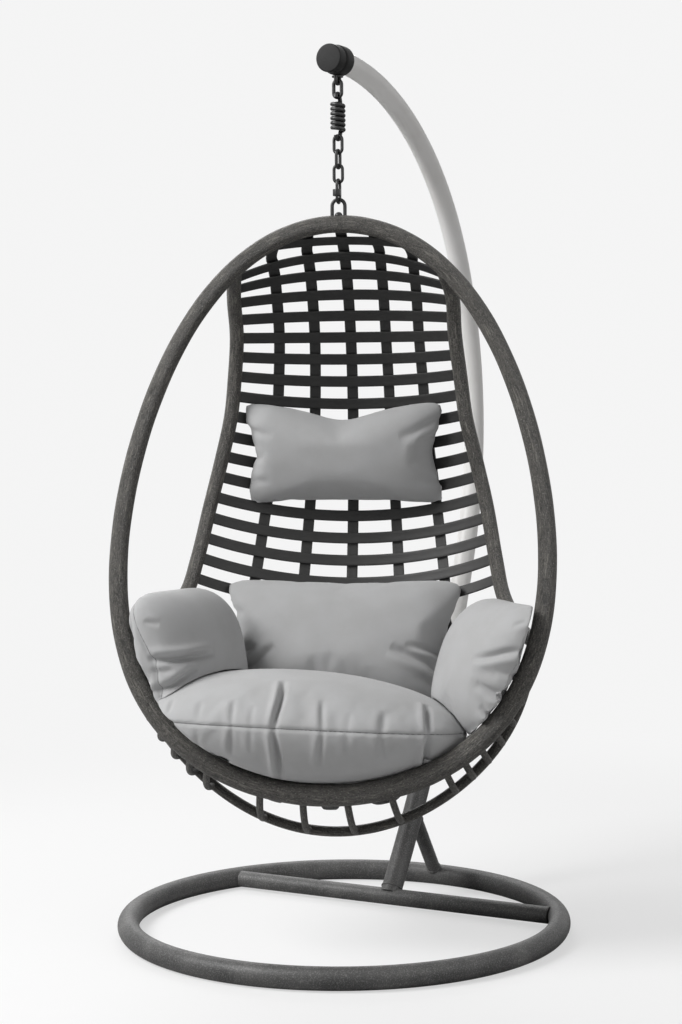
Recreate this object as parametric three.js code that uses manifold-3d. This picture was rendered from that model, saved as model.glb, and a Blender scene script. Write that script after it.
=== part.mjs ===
// Hanging pod chair: an egg-shaped basket on a short chain and spring, under a curved pole
// that stands on a ring base. Millimetres, +Z up. The basket faces -Y.
import * as THREE from 'three';
import { mergeVertices } from 'three/addons/utils/BufferGeometryUtils.js';
import Module from 'manifold-3d';

const wasm = await Module();
wasm.setup();

// Driving dimensions

const GAP = 0.3; // between pieces that touch

const standTurn = -20.5; // degrees: the pole stands behind and to the right of the basket

const ring = { outerDiameter: 1000, tube: 48, wall: 2, steps: 36, sides: 12 };
const crossbar = { tube: 38, wall: 2, sides: 12 };
const pole = {
  tube: 48,
  wall: 2,
  sides: 12,
  length: 2410.6, // along the centre line
  footAngle: 51.4, // degrees above the floor where it leaves the crossbar
  arcs: [
    { lengthShare: 0.374, turn: 19.3 },
    { lengthShare: 0.2983, turn: 44.9 },
    { lengthShare: 0.3277, turn: 64.4 },
  ],
  jointAt: 400, // along the pole, where the upper pole plugs in
  stepLength: 76,
};
const brace = { tube: 32, wall: 2, meetsPoleAt: 215, sides: 12 };
const spigot = { length: 240, wall: 2.5, sides: 10, stepLength: 60 };
const jointBolt = {
  diameter: 8,
  headDiameter: 15,
  domeShare: 0.7,
  headHeight: 5.5,
  fromJoint: 62,
  sides: 10,
};
const collar = { diameter: 65, length: 34, shoulder: 5, backOfAxis: 21, sides: 20 };
const endCap = { diameter: 61, length: 29, edge: 3, plugLength: 4, plugWall: 3 };

const eye = {
  wire: 8,
  drop: 18, // from the collar's underside to the wire's lowest centre
  bend: 8.6,
  neckWidth: 17,
  neckDepth: 28,
  neckHeight: 4.5,
  shank: 10,
  nutAcross: 16,
  nutHeight: 8,
};
const topLink = { wire: 8, length: 46, width: 27 };
const spring = {
  wire: 9.4,
  diameter: 34,
  turns: 6,
  pitch: 10.1,
  hookRadius: 8.9,
  hookRise: 19,
  stepsPerTurn: 10,
};
const chainLink = { wire: 7, length: 46, width: 26.4 };
const chainTurns = [-19, -17, -12]; // degrees: the chain twists a little from the pole to the basket
const quickLink = {
  wire: 7,
  length: 58,
  width: 31,
  nutAcross: 16.5,
  nutLength: 15,
  nutFromEnd: 13.5,
  opening: 8,
};
const quickLinkTurn = -8.5;
const loop = { wire: 8, width: 36, height: 53, headDiameter: 16.6, headHeight: 7 };
const wireSides = 6;
const bendSteps = 6;

const hoop = {
  length: 1235, // of the centre line, down the leaning plane
  halfReach: 474, // half the width, before the swell
  lean: 14, // degrees from upright, the foot of the hoop forward
  topTube: 38,
  footTube: 46,
  swellShare: -0.168, // pushes the widest place down, which makes the egg
  flatShare: 0.054,
  steps: 48,
  sides: 10,
};

const rail = { tube: 32, sides: 10, steps: 18, topAngle: 33, sideAngle: 119 };
const backDepth = 222; // from the hang axis to the deepest place of the back

// each way point of a rail: share of the hoop's half reach, of the back's depth and of its height
const railShares = [
  [0.513, 0.248, 0.13],
  [0.517, 0.428, 0.194],
  [0.54, 0.54, 0.275],
  [0.561, 0.563, 0.34],
  [0.61, 0.563, 0.421],
  [0.66, 0.496, 0.502],
  [0.709, 0.306, 0.599],
  [0.745, 0.117, 0.656],
  [0.833, -0.36, 0.706],
];

// the middle line of the shell: shares of the back's depth and of the hoop's height
const middleShares = [
  [0.473, 0.065],
  [0.788, 0.162],
  [0.968, 0.283],
  [1.0, 0.405],
  [0.923, 0.543],
  [0.721, 0.688],
  [0.383, 0.834],
  [-0.135, 0.956],
  [-0.766, 1.008],
];

const strap = {
  width: 25,
  thickness: 5,
  lapGap: 2, // between the long straps and the cross straps
  pitch: 51.5, // between cross straps, down the middle of the back
  firstAt: 58, // down the middle line
  backCount: 18,
  seatCount: 7,
  firstHoopAngle: 24,
  railStartShare: 0.035,
  railEndShare: 0.7,
  railEase: 1.09,
  seatFirstAngle: 128.8,
  seatStepAngle: 4.6,
  beforeFirstAngle: 19, // where the rows would go on to, on the hoop
  afterLastAngle: 161,
  longShares: [-0.6, -0.3, 0, 0.3, 0.6], // of each cross strap's half arc
  innerShares: [0.3],
  tightRows: 3, // at the top, where the shell bends most
  topSpreadShare: 1.63, // the long straps spread at the hoop, and draw together below the back
  spreadRows: 2,
  seatNarrowShare: 0.62,
  footSpreadShare: 1.6,
};

const cradle = {
  tube: 22,
  rung: 15,
  rungBowShare: 0.3,
  rungSteps: 5,
  startAngle: 124,
  back: 155, // behind the hoop
  outside: 30, // outside the hoop, at its sides
  below: 68, // and at its foot
  steps: 32,
  sides: 8,
  sideRungs: 6,
  footRungs: 2,
  footRungAngle: 9,
};

// Cushions: angles in degrees, sizes and places as shares of the hoop's half reach, of the back's
// depth and of the hoop's length, and the ways each is pushed until it rests
const cushions = [
  {
    name: 'seat_cushion',
    sizeShares: { width: 1.291, depth: 0.802, thickness: 0.454 },
    form: { squareness: 2.25, waistShare: 0, bendShare: 0 },
    place: { tilt: 0, turn: 0, roll: 1.5 },
    placeShares: [-0.025, -0.802, 0.7405],
    directions: [[0, 0, -1]],
  },
  {
    name: 'back_cushion',
    sizeShares: { width: 1.065, depth: 0.561, thickness: 0.285 },
    form: { squareness: 5, waistShare: 0.06, bendShare: 0 },
    place: { tilt: 67, turn: 0, roll: 0 },
    placeShares: [0.004, -0.18, 0.5623],
    directions: [[0, 1, 0], [0, -0.3, -1], [0, 1, 0]],
  },
  {
    name: 'arm_cushion_left',
    sizeShares: { width: 0.591, depth: 0.496, thickness: 0.285 },
    form: { squareness: 3, waistShare: 0, bendShare: 0 },
    place: { tilt: 80, turn: 60, roll: 0 },
    placeShares: [-0.612, -0.63, 0.6757],
    directions: [[0, 0, -1], [-1, 0, 0], [0, 0, -1]],
  },
  {
    name: 'arm_cushion_right',
    sizeShares: { width: 0.591, depth: 0.496, thickness: 0.285 },
    form: { squareness: 3, waistShare: 0, bendShare: 0 },
    place: { tilt: 80, turn: -60, roll: 0 },
    placeShares: [0.612, -0.63, 0.6757],
    directions: [[0, 0, -1], [1, 0, 0], [0, 0, -1]],
  },
  {
    name: 'headrest_pillow',
    sizeShares: { width: 0.911, depth: 0.439, thickness: 0.232 },
    form: { squareness: 6, waistShare: 0.07, bendShare: 0.02 },
    place: { tilt: 88, turn: 0, roll: 0 },
    placeShares: [0, 0.27, 0.4069],
    directions: [[0, 1, 0]],
  },
];
const settleStep = 12;
const settleError = 0.02;
const cushionRings = 4;
const crownPower = 2.6; // a cushion's cross section: how far its flat top reaches
const crownFullness = 0.6; // and how round its edges are
const cushionSides = 20;

// Small helpers

const radians = THREE.MathUtils.degToRad;
const { clamp, lerp } = THREE.MathUtils;
const vec = (x, y, z) => new THREE.Vector3(x, y, z);
const X = vec(1, 0, 0);

function material(color, roughness, metalness) {
  return new THREE.MeshStandardMaterial({ color, roughness, metalness });
}

const hammertone = material(0x4b4c4c, 0.45, 0.5);
const paleSatin = material(0xc9c8c4, 0.35, 0.4);
const blackPlastic = material(0x3a3a39, 0.6, 0);
const blackMetal = material(0x242424, 0.35, 0.7);
const barkBrown = material(0x55534e, 0.6, 0);
const strapBlack = material(0x2a2a29, 0.5, 0);
const greyFabric = material(0xa6a6a8, 0.9, 0);

function toSolid(geometry) {
  const plain = geometry.clone();
  plain.deleteAttribute('normal');
  plain.deleteAttribute('uv');
  const merged = mergeVertices(plain);
  return new wasm.Manifold(new wasm.Mesh({
    numProp: 3,
    vertProperties: new Float32Array(merged.attributes.position.array),
    triVerts: new Uint32Array(merged.index.array),
  }));
}

function toGeometry(solid) {
  const mesh = solid.getMesh();
  const geometry = new THREE.BufferGeometry();
  geometry.setAttribute('position', new THREE.BufferAttribute(mesh.vertProperties, 3));
  geometry.setIndex(new THREE.BufferAttribute(mesh.triVerts, 1));
  geometry.computeVertexNormals();
  return geometry;
}

function cut(geometry, ...tools) {
  return toGeometry(tools.reduce((rest, tool) => rest.subtract(toSolid(tool)), toSolid(geometry)));
}

function join(...geometries) {
  return toGeometry(geometries.map(toSolid).reduce((whole, next) => whole.add(next)));
}

function addMesh(group, name, geometry, look) {
  const mesh = new THREE.Mesh(geometry, look);
  mesh.name = name;
  group.add(mesh);
  return mesh;
}

function circleShape(radius, sides, boreRadius = 0, boreSides = sides) {
  const ringPoints = (r, n) => Array.from({ length: n }, (_, i) => {
    const angle = (i + 0.5) * 2 * Math.PI / n;
    return new THREE.Vector2(r * Math.cos(angle), r * Math.sin(angle));
  });
  const shape = new THREE.Shape(ringPoints(radius, sides));
  if (boreRadius > 0) shape.holes.push(new THREE.Path(ringPoints(boreRadius, boreSides)));
  return shape;
}

function boreSides(sides) {
  return Math.max(6, sides - 4);
}

function tubeAlong(path, steps, radius, sides, boreRadius = 0) {
  const shape = circleShape(radius, sides, boreRadius, boreSides(sides));
  return new THREE.ExtrudeGeometry(shape, { steps, extrudePath: path, bevelEnabled: false });
}

function rodBetween(from, to, radius, sides, boreRadius = 0) {
  return tubeAlong(new THREE.LineCurve3(from, to), 1, radius, sides, boreRadius);
}

// A closed round tube through points in one plane, with a radius at each
function closedTube(points, radii, normal, sides) {
  const positions = [];
  const indices = [];
  points.forEach((here, i) => {
    const next = (i + 1) % points.length;
    const before = points[(i + points.length - 1) % points.length];
    const side = points[next].clone().sub(before).cross(normal).normalize();
    for (let j = 0; j < sides; j++) {
      const angle = (j + 0.5) * 2 * Math.PI / sides;
      const offset = side.clone().multiplyScalar(Math.cos(angle));
      offset.addScaledVector(normal, Math.sin(angle)).multiplyScalar(radii[i]);
      positions.push(...here.clone().add(offset).toArray());
      const a = i * sides + j;
      const b = i * sides + (j + 1) % sides;
      const c = next * sides + j;
      const d = next * sides + (j + 1) % sides;
      indices.push(a, c, b, b, c, d);
    }
  });
  const geometry = new THREE.BufferGeometry();
  geometry.setAttribute('position', new THREE.Float32BufferAttribute(positions, 3));
  geometry.setIndex(indices);
  return geometry;
}

// A smooth path that keeps a section at each of its points
class StationPath extends THREE.CatmullRomCurve3 {
  constructor(points) {
    super(points, false, 'centripetal');
  }

  getPointAt(share, target) {
    return this.getPoint(share, target);
  }

  getTangentAt(share, target) {
    return this.getTangent(share, target);
  }
}

function wireThrough(points, wire) {
  return tubeAlong(new StationPath(points), points.length - 1, wire / 2, wireSides);
}

// A closed solid between two sheets of points, given as rows of equal length
function slabBetween(topRows, bottomRows) {
  const rows = topRows.length;
  const columns = topRows[0].length;
  const positions = [...topRows.flat(), ...bottomRows.flat()].flatMap((p) => p.toArray());
  const top = (i, j) => i * columns + j;
  const bottom = (i, j) => rows * columns + i * columns + j;
  const indices = [];
  const quad = (a, b, c, d) => indices.push(a, b, c, a, c, d);
  for (let i = 0; i + 1 < rows; i++) {
    for (let j = 0; j + 1 < columns; j++) {
      quad(top(i, j), top(i, j + 1), top(i + 1, j + 1), top(i + 1, j));
      quad(bottom(i, j), bottom(i + 1, j), bottom(i + 1, j + 1), bottom(i, j + 1));
    }
    quad(top(i, 0), top(i + 1, 0), bottom(i + 1, 0), bottom(i, 0));
    quad(top(i + 1, columns - 1), top(i, columns - 1), bottom(i, columns - 1), bottom(i + 1, columns - 1));
  }
  for (let j = 0; j + 1 < columns; j++) {
    quad(top(0, j + 1), top(0, j), bottom(0, j), bottom(0, j + 1));
    quad(top(rows - 1, j), top(rows - 1, j + 1), bottom(rows - 1, j + 1), bottom(rows - 1, j));
  }
  const geometry = new THREE.BufferGeometry();
  geometry.setAttribute('position', new THREE.Float32BufferAttribute(positions, 3));
  geometry.setIndex(indices);
  return geometry;
}

// Stand: a ring on the floor, a crossbar inside it, and a pole of three bends in one upright plane

const ringRadius = (ring.outerDiameter - ring.tube) / 2;
const floorAxis = ring.tube / 2; // height of the tubes that lie on the floor

class BentPole extends THREE.Curve {
  constructor(start, length) {
    super();
    this.start = start;
    this.length = length;
  }

  // place and heading in the pole's plane, from the foot
  static at(distance) {
    let heading = radians(pole.footAngle);
    let reach = 0;
    let height = 0;
    let left = distance;
    for (const arc of pole.arcs) {
      const length = arc.lengthShare * pole.length;
      const radius = length / radians(arc.turn);
      const turn = Math.min(left, length) / radius;
      reach += radius * (Math.sin(heading + turn) - Math.sin(heading));
      height += radius * (Math.cos(heading) - Math.cos(heading + turn));
      heading += turn;
      left -= length;
      if (left <= 0) break;
    }
    return { reach, height, heading };
  }

  getPoint(share, target = new THREE.Vector3()) {
    const { reach, height } = BentPole.at(this.start + share * this.length);
    return target.set(0, footReach + reach, floorAxis + height);
  }
}

const poleEnd = BentPole.at(pole.length);
const footReach = collar.backOfAxis - collar.length - poleEnd.reach; // hangs over the ring's middle
const poleTopHeight = floorAxis + poleEnd.height;
const poleBore = pole.tube / 2 - pole.wall;

function polePoint(distance) {
  return new BentPole(distance, 0).getPoint(0);
}

function poleTube(from, to, radius, sides, boreRadius, stepLength = pole.stepLength) {
  const path = new BentPole(from, to - from);
  return tubeAlong(path, Math.ceil((to - from) / stepLength), radius, sides, boreRadius);
}

function ringTube(radius, sides) {
  // flats under and over the tube, so the ring stands on a real face
  const profile = circleShape(radius / Math.cos(Math.PI / sides), sides).getPoints();
  const closed = [...profile, profile[0]].map((p) => new THREE.Vector2(ringRadius + p.x, p.y));
  const torus = new THREE.LatheGeometry(closed, ring.steps);
  return torus.rotateX(Math.PI / 2).translate(0, 0, floorAxis);
}

function makeBaseRing() {
  const outer = toSolid(ringTube(ring.tube / 2, ring.sides));
  const inner = toSolid(ringTube(ring.tube / 2 - ring.wall, boreSides(ring.sides)));
  const vent = rodBetween(
    vec(0, ringRadius, floorAxis),
    vec(0, ringRadius + ring.tube, floorAxis),
    jointBolt.diameter / 2,
    wireSides,
  );
  return toGeometry(outer.subtract(inner).subtract(toSolid(vent)));
}

function makeCrossbar() {
  const half = Math.sqrt(ringRadius ** 2 - footReach ** 2);
  const bar = (radius, bore) => rodBetween(
    vec(-half, footReach, floorAxis),
    vec(half, footReach, floorAxis),
    radius,
    crossbar.sides,
    bore,
  );
  return cut(bar(crossbar.tube / 2, crossbar.tube / 2 - crossbar.wall),
    ringTube(ring.tube / 2 + GAP, ring.sides));
}

function boltHoles(radius) {
  return [-1, 1].map((side) => {
    const middle = polePoint(pole.jointAt + side * jointBolt.fromJoint);
    const reach = X.clone().multiplyScalar(pole.tube);
    return rodBetween(middle.clone().sub(reach), middle.clone().add(reach), radius, jointBolt.sides);
  });
}

function makeLowerPost() {
  const tube = poleTube(0, pole.jointAt - GAP / 2, pole.tube / 2, pole.sides, poleBore);
  const bar = rodBetween(
    vec(-pole.tube, footReach, floorAxis),
    vec(pole.tube, footReach, floorAxis),
    crossbar.tube / 2 + GAP,
    crossbar.sides,
  );
  return cut(tube, bar, ...boltHoles(jointBolt.diameter / 2 + GAP));
}

function makeUpperPole() {
  const tube = poleTube(pole.jointAt + GAP / 2, pole.length, pole.tube / 2, pole.sides, poleBore);
  const eyeHole = rodBetween(
    vec(0, 0, poleTopHeight),
    vec(0, 0, poleTopHeight - pole.tube),
    eye.shank / 2 + GAP,
    jointBolt.sides,
  );
  return cut(tube, ...boltHoles(jointBolt.diameter / 2 + GAP), eyeHole);
}

function makePoleSpigot() {
  const radius = poleBore * Math.cos(Math.PI / boreSides(pole.sides)) - GAP;
  const sleeve = poleTube(pole.jointAt - spigot.length / 2, pole.jointAt + spigot.length / 2,
    radius, spigot.sides, radius - spigot.wall, spigot.stepLength);
  return cut(sleeve, ...boltHoles(jointBolt.diameter / 2 + GAP));
}

function makeJointBolt(side) {
  const middle = polePoint(pole.jointAt + side * jointBolt.fromJoint);
  const seat = pole.tube / 2 + GAP;
  const profile = [
    [0, -seat - jointBolt.headHeight],
    [jointBolt.headDiameter / 2 * jointBolt.domeShare, -seat - jointBolt.headHeight],
    [jointBolt.headDiameter / 2, -seat],
    [jointBolt.diameter / 2, -seat],
    [jointBolt.diameter / 2, seat],
    [jointBolt.headDiameter / 2, seat],
    [jointBolt.headDiameter / 2 * jointBolt.domeShare, seat + jointBolt.headHeight],
    [0, seat + jointBolt.headHeight],
  ].map(([x, y]) => new THREE.Vector2(x, y));
  const bolt = new THREE.LatheGeometry(profile, jointBolt.sides);
  return bolt.rotateZ(-Math.PI / 2).translate(middle.x, middle.y, middle.z);
}

function makeRearBrace() {
  const from = vec(0, ringRadius, floorAxis);
  const to = polePoint(brace.meetsPoleAt);
  const tube = rodBetween(from, to, brace.tube / 2, brace.sides, brace.tube / 2 - brace.wall);
  const post = poleTube(0, pole.jointAt, pole.tube / 2 + GAP, pole.sides, 0);
  return cut(tube, ringTube(ring.tube / 2 + GAP, ring.sides), post);
}

// Pole head: a rounded collar round the pole's end, with a plugged cap in front of it

const collarBack = collar.backOfAxis;
const collarFront = collar.backOfAxis - collar.length;
const capFront = collarFront - GAP - endCap.length;

function turnedAlongPole(profile, sides) {
  // a profile of radius and place along Y, turned round the pole's end
  const points = profile.map(([radius, along]) => new THREE.Vector2(radius, along));
  const turned = new THREE.LatheGeometry(points, sides);
  return turned.translate(0, 0, poleTopHeight);
}

function makeHangerCollar() {
  const outer = collar.diameter / 2;
  const bore = pole.tube / 2 + GAP;
  const body = turnedAlongPole([
    [bore, collarFront],
    [outer - collar.shoulder, collarFront],
    [outer, collarFront + collar.shoulder],
    [outer, collarBack - collar.shoulder],
    [outer - collar.shoulder, collarBack],
    [bore, collarBack],
    [bore, collarFront],
  ], collar.sides);
  const arrivingPole = poleTube(pole.length - 2 * collar.length, pole.length, bore, pole.sides, 0);
  const shankHole = rodBetween(
    vec(0, 0, poleTopHeight),
    vec(0, 0, poleTopHeight - collar.diameter),
    eye.shank / 2 + GAP,
    jointBolt.sides,
  );
  return cut(body, arrivingPole, shankHole);
}

function makePoleEndCap() {
  const outer = endCap.diameter / 2;
  const plug = poleBore * Math.cos(Math.PI / boreSides(pole.sides)) - GAP;
  return turnedAlongPole([
    [0, capFront],
    [outer - endCap.edge, capFront],
    [outer, capFront + endCap.edge],
    [outer, collarFront - GAP],
    [plug, collarFront - GAP],
    [plug, collarFront - GAP + endCap.plugLength],
    [plug - endCap.plugWall, collarFront - GAP + endCap.plugLength],
    [plug - endCap.plugWall, collarFront - GAP],
    [0, collarFront - GAP],
  ], collar.sides);
}

// Hanging gear, from the eye down. Each piece hangs from the wire above it, a GAP apart.

const hangTop = poleTopHeight - collar.diameter / 2;
const eyeWire = hangTop - eye.drop; // height of the eye's lowest wire
const topLinkHigh = eyeWire + eye.wire / 2 + topLink.wire / 2 + GAP;
const topLinkLow = topLinkHigh - (topLink.length - topLink.wire);
const springHigh = topLinkLow + topLink.wire / 2 + spring.wire / 2 + GAP;
const coilHigh = springHigh - spring.hookRise;
const coilLow = coilHigh - spring.turns * spring.pitch;
const springLow = coilLow - spring.hookRise;
const linkStep = chainLink.length - 2 * chainLink.wire - GAP;
const chainHigh = springLow + spring.wire / 2 + chainLink.wire / 2 + GAP;
const quickHigh = chainHigh - 3 * linkStep;
const quickLow = quickHigh - (quickLink.length - quickLink.wire);
const loopHigh = quickLow + quickLink.wire / 2 + loop.wire / 2 + GAP;
const hoopTop = loopHigh - loop.height; // height of the hoop's centre line at its top

// A bow of wire in the YZ plane: up one side, round the top and down the other
function bowPoints(halfWidth, high, low) {
  const bend = Array.from({ length: bendSteps + 1 }, (_, i) => {
    const angle = i * Math.PI / bendSteps;
    return vec(0, halfWidth * Math.cos(angle), high - halfWidth + halfWidth * Math.sin(angle));
  });
  return [vec(0, halfWidth, low), ...bend, vec(0, -halfWidth, low)];
}

// An oval link in the YZ plane
function makeLink(size, high, low) {
  const halfWidth = (size.width - size.wire) / 2;
  const topBend = bowPoints(halfWidth, high, low).slice(1, -1);
  const footBend = topBend.map((p) => vec(p.x, -p.y, high + low - p.z));
  const points = [...topBend, ...footBend];
  return closedTube(points, points.map(() => size.wire / 2), X, wireSides);
}

function makeEyeBolt() {
  const bow = wireThrough(bowPoints(eye.bend, -eyeWire, eye.neckHeight / 2 - hangTop), eye.wire)
    .rotateX(Math.PI);
  const neck = new THREE.BoxGeometry(eye.neckWidth, eye.neckDepth, eye.neckHeight)
    .translate(0, 0, hangTop - GAP - eye.neckHeight / 2);
  const shank = rodBetween(
    vec(0, 0, hangTop - eye.neckHeight),
    vec(0, 0, eyeNutLow + eye.nutHeight + eye.wire / 2),
    eye.shank / 2,
    jointBolt.sides,
  );
  return join(bow, neck, shank);
}

const eyeNutCorner = eye.nutAcross / Math.sqrt(3);
const innerPole = poleBore * Math.cos(Math.PI / boreSides(pole.sides));
const eyeNutLow = poleTopHeight - Math.sqrt(innerPole ** 2 - eyeNutCorner ** 2) + GAP;

function nutShape(corner, bore) {
  return circleShape(corner, 6, bore, jointBolt.sides);
}

function makeEyeNut() {
  const shape = nutShape(eyeNutCorner, eye.shank / 2 + GAP);
  return new THREE.ExtrudeGeometry(shape, { depth: eye.nutHeight, bevelEnabled: false })
    .rotateZ(Math.PI / 6)
    .translate(0, 0, eyeNutLow);
}

function makeSpring() {
  const coil = (spring.diameter - spring.wire) / 2;
  const steps = spring.turns * spring.stepsPerTurn;
  const helix = Array.from({ length: steps + 1 }, (_, i) => {
    const angle = 2 * Math.PI * i / spring.stepsPerTurn;
    const height = coilLow + (coilHigh - coilLow) * i / steps;
    return vec(coil * Math.sin(angle), coil * Math.cos(angle), height);
  });
  const topHook = bowPoints(spring.hookRadius, springHigh, coilHigh + spring.wire).slice(1, -1);
  const footHook = topHook.map((p) => vec(p.x, p.y, coilHigh + coilLow - p.z)).reverse();
  return wireThrough([...footHook, ...helix, ...topHook], spring.wire);
}

const quickHalfWidth = (quickLink.width - quickLink.wire) / 2;
const quickNutLow = quickLow + quickLink.nutFromEnd;

function makeQuickLink() {
  const opening = new THREE.BoxGeometry(
    2 * quickLink.wire,
    2 * quickLink.wire,
    quickLink.opening,
  ).translate(0, -quickHalfWidth, quickNutLow + quickLink.nutLength / 2);
  return cut(makeLink(quickLink, quickHigh, quickLow), opening);
}

function makeQuickLinkNut() {
  const shape = nutShape(quickLink.nutAcross / Math.sqrt(3), quickLink.wire / 2 + GAP);
  return new THREE.ExtrudeGeometry(shape, { depth: quickLink.nutLength, bevelEnabled: false })
    .rotateZ(Math.PI / 6)
    .translate(0, -quickHalfWidth, quickNutLow);
}

function makeHangerLoop() {
  const halfWidth = (loop.width - loop.wire) / 2;
  const bow = wireThrough(bowPoints(halfWidth, loopHigh, hoopTop), loop.wire)
    .rotateZ(Math.PI / 2);
  return toGeometry(toSolid(bow).subtract(grownHoop));
}

function makeLoopBolt() {
  const surface = hoop.topTube / 2;
  const dome = new THREE.SphereGeometry(loop.headDiameter / 2, jointBolt.sides, bendSteps)
    .rotateX(Math.PI / 2)
    .scale(1, 1, 2 * loop.headHeight / loop.headDiameter)
    .translate(0, 0, hoopTop + surface);
  return toGeometry(toSolid(dome).subtract(grownHoop));
}

// Basket: the front hoop leans forward at its foot, the shell of straps hangs behind it

const lean = radians(hoop.lean);
const hoopBack = vec(0, Math.cos(lean), -Math.sin(lean)); // square to the hoop, backwards

function hoopPoint(degrees) {
  const angle = radians(degrees);
  const swell = 1 + hoop.swellShare * Math.cos(angle) + hoop.flatShare * Math.cos(2 * angle);
  const down = hoop.length / 2 * (1 - Math.cos(angle));
  const across = hoop.halfReach * Math.sin(angle) * swell;
  return vec(across, -down * Math.sin(lean), hoopTop - down * Math.cos(lean));
}

function hoopRadius(degrees) {
  const footShare = ((1 - Math.cos(radians(degrees))) / 2) ** 3;
  return (hoop.topTube + (hoop.footTube - hoop.topTube) * footShare) / 2;
}

function makeHoop(extra) {
  const angles = Array.from({ length: hoop.steps }, (_, i) => 360 * i / hoop.steps);
  const radii = angles.map((angle) => hoopRadius(angle) + extra);
  return closedTube(angles.map(hoopPoint), radii, hoopBack, hoop.sides);
}

const grownHoop = toSolid(makeHoop(GAP));

function shellPlace([acrossShare, backShare, downShare]) {
  return vec(
    acrossShare * hoop.halfReach,
    backShare * backDepth,
    hoopTop - downShare * hoop.length,
  );
}

const railPath = new THREE.CatmullRomCurve3([
  hoopPoint(rail.topAngle),
  ...railShares.map(shellPlace),
  hoopPoint(rail.sideAngle),
], false, 'centripetal');

function makeRail(side, extra) {
  const tube = tubeAlong(railPath, rail.steps, rail.tube / 2 + extra, rail.sides);
  return side > 0 ? tube : mirrored(tube);
}

function mirrored(geometry) {
  const copy = geometry.clone().scale(-1, 1, 1);
  const position = copy.attributes.position.array;
  for (let i = 0; copy.index === null && i < position.length; i += 9) {
    for (let j = i; j < i + 3; j++) {
      [position[j], position[j + 3]] = [position[j + 3], position[j]];
    }
  }
  return copy;
}

function makeBackRail(side) {
  return toGeometry(toSolid(makeRail(side, 0)).subtract(grownHoop));
}

const grownRails = [-1, 1].map((side) => toSolid(makeRail(side, GAP)));
const frameCutter = grownRails.reduce((whole, next) => whole.add(next), grownHoop);

// Strap rows: where each cross strap's middle and its right-hand end lie

const middlePath = new THREE.CatmullRomCurve3([
  hoopPoint(0),
  ...middleShares.map(([back, down]) => shellPlace([0, back, down])),
  hoopPoint(180),
], false, 'centripetal');
const middleLength = middlePath.getLength();
const rowCount = strap.backCount + strap.seatCount;

function rowMiddle(row) {
  const last = strap.firstAt + (strap.backCount - 1) * strap.pitch;
  const seatPitch = (middleLength - last) / (strap.seatCount + 1);
  const along = row < strap.backCount
    ? strap.firstAt + row * strap.pitch
    : last + (row - strap.backCount + 1) * seatPitch;
  return middlePath.getPointAt(along / middleLength);
}

function rowEnd(row) {
  if (row === 0) return hoopPoint(strap.firstHoopAngle);
  if (row < strap.backCount) {
    const share = ((row - 1) / (strap.backCount - 2)) ** strap.railEase;
    const start = strap.railStartShare;
    return railPath.getPointAt(start + (strap.railEndShare - start) * share);
  }
  return hoopPoint(strap.seatFirstAngle + (row - strap.backCount) * strap.seatStepAngle);
}

const rows = Array.from({ length: rowCount }, (_, row) => row);
const middles = new THREE.CatmullRomCurve3([
  hoopPoint(0),
  ...rows.map(rowMiddle),
  hoopPoint(180),
], false, 'centripetal');
const ends = new THREE.CatmullRomCurve3([
  hoopPoint(strap.beforeFirstAngle),
  ...rows.map(rowEnd),
  hoopPoint(strap.afterLastAngle),
], false, 'centripetal');

// A point of the shell: share runs from -1 to 1 along the round arc of a row. Rows -1 and rowCount
// lie on the hoop.
function shellPoint(row, share) {
  const middle = middles.getPoint((row + 1) / (rowCount + 1));
  const end = ends.getPoint((row + 1) / (rowCount + 1));
  const rise = middle.clone().sub(vec(0, end.y, end.z));
  const depth = rise.length();
  rise.normalize();
  const radius = (end.x ** 2 + depth ** 2) / (2 * depth);
  const angle = 2 * Math.atan2(depth, end.x) * share;
  return middle
    .addScaledVector(rise, radius * (Math.cos(angle) - 1))
    .addScaledVector(X, radius * Math.sin(angle));
}

const nudgeShare = 0.02;

function shellFrame(row, share) {
  const inside = clamp(row, nudgeShare - 1, rowCount - nudgeShare);
  const along = shellPoint(inside, share + nudgeShare).sub(shellPoint(inside, share - nudgeShare));
  const down = shellPoint(inside + nudgeShare, share).sub(shellPoint(inside - nudgeShare, share));
  const outward = along.clone().cross(down).normalize();
  return { point: shellPoint(row, share), along: along.normalize(), outward };
}

function ribbon(stations) {
  const sheet = (side) => stations.map(({ point, along, outward }) => {
    const across = along.clone().cross(outward).normalize();
    const middle = point.clone().addScaledVector(outward, side * strap.thickness / 2);
    return [-1, 1].map((edge) => middle.clone().addScaledVector(across, edge * strap.width / 2));
  });
  return slabBetween(sheet(1), sheet(-1));
}

// how far the long straps spread or draw together at a row
function spread(row) {
  if (row < strap.backCount - 1) {
    return lerp(strap.topSpreadShare, 1, clamp((row + 1) / strap.spreadRows, 0, 1));
  }
  if (row < strap.backCount) return lerp(1, strap.seatNarrowShare, row - strap.backCount + 1);
  const share = (row - strap.backCount) / strap.seatCount;
  return lerp(strap.seatNarrowShare, strap.footSpreadShare, share);
}

function makeCrossStrap(row) {
  const narrow = spread(row);
  const outer = strap.longShares[strap.longShares.length - 1] * narrow;
  const sideSteps = row < strap.backCount ? 2 : 4;
  const shares = [0, ...strap.innerShares.map((share) => share * narrow)];
  for (let i = 0; i <= sideSteps; i++) shares.push(outer + (1 - outer) * i / sideSteps);
  const all = [...shares.slice(1).reverse().map((share) => -share), ...shares];
  const strapSolid = toSolid(ribbon(all.map((share) => shellFrame(row, share))));
  return strapSolid.subtract(frameCutter);
}

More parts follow.
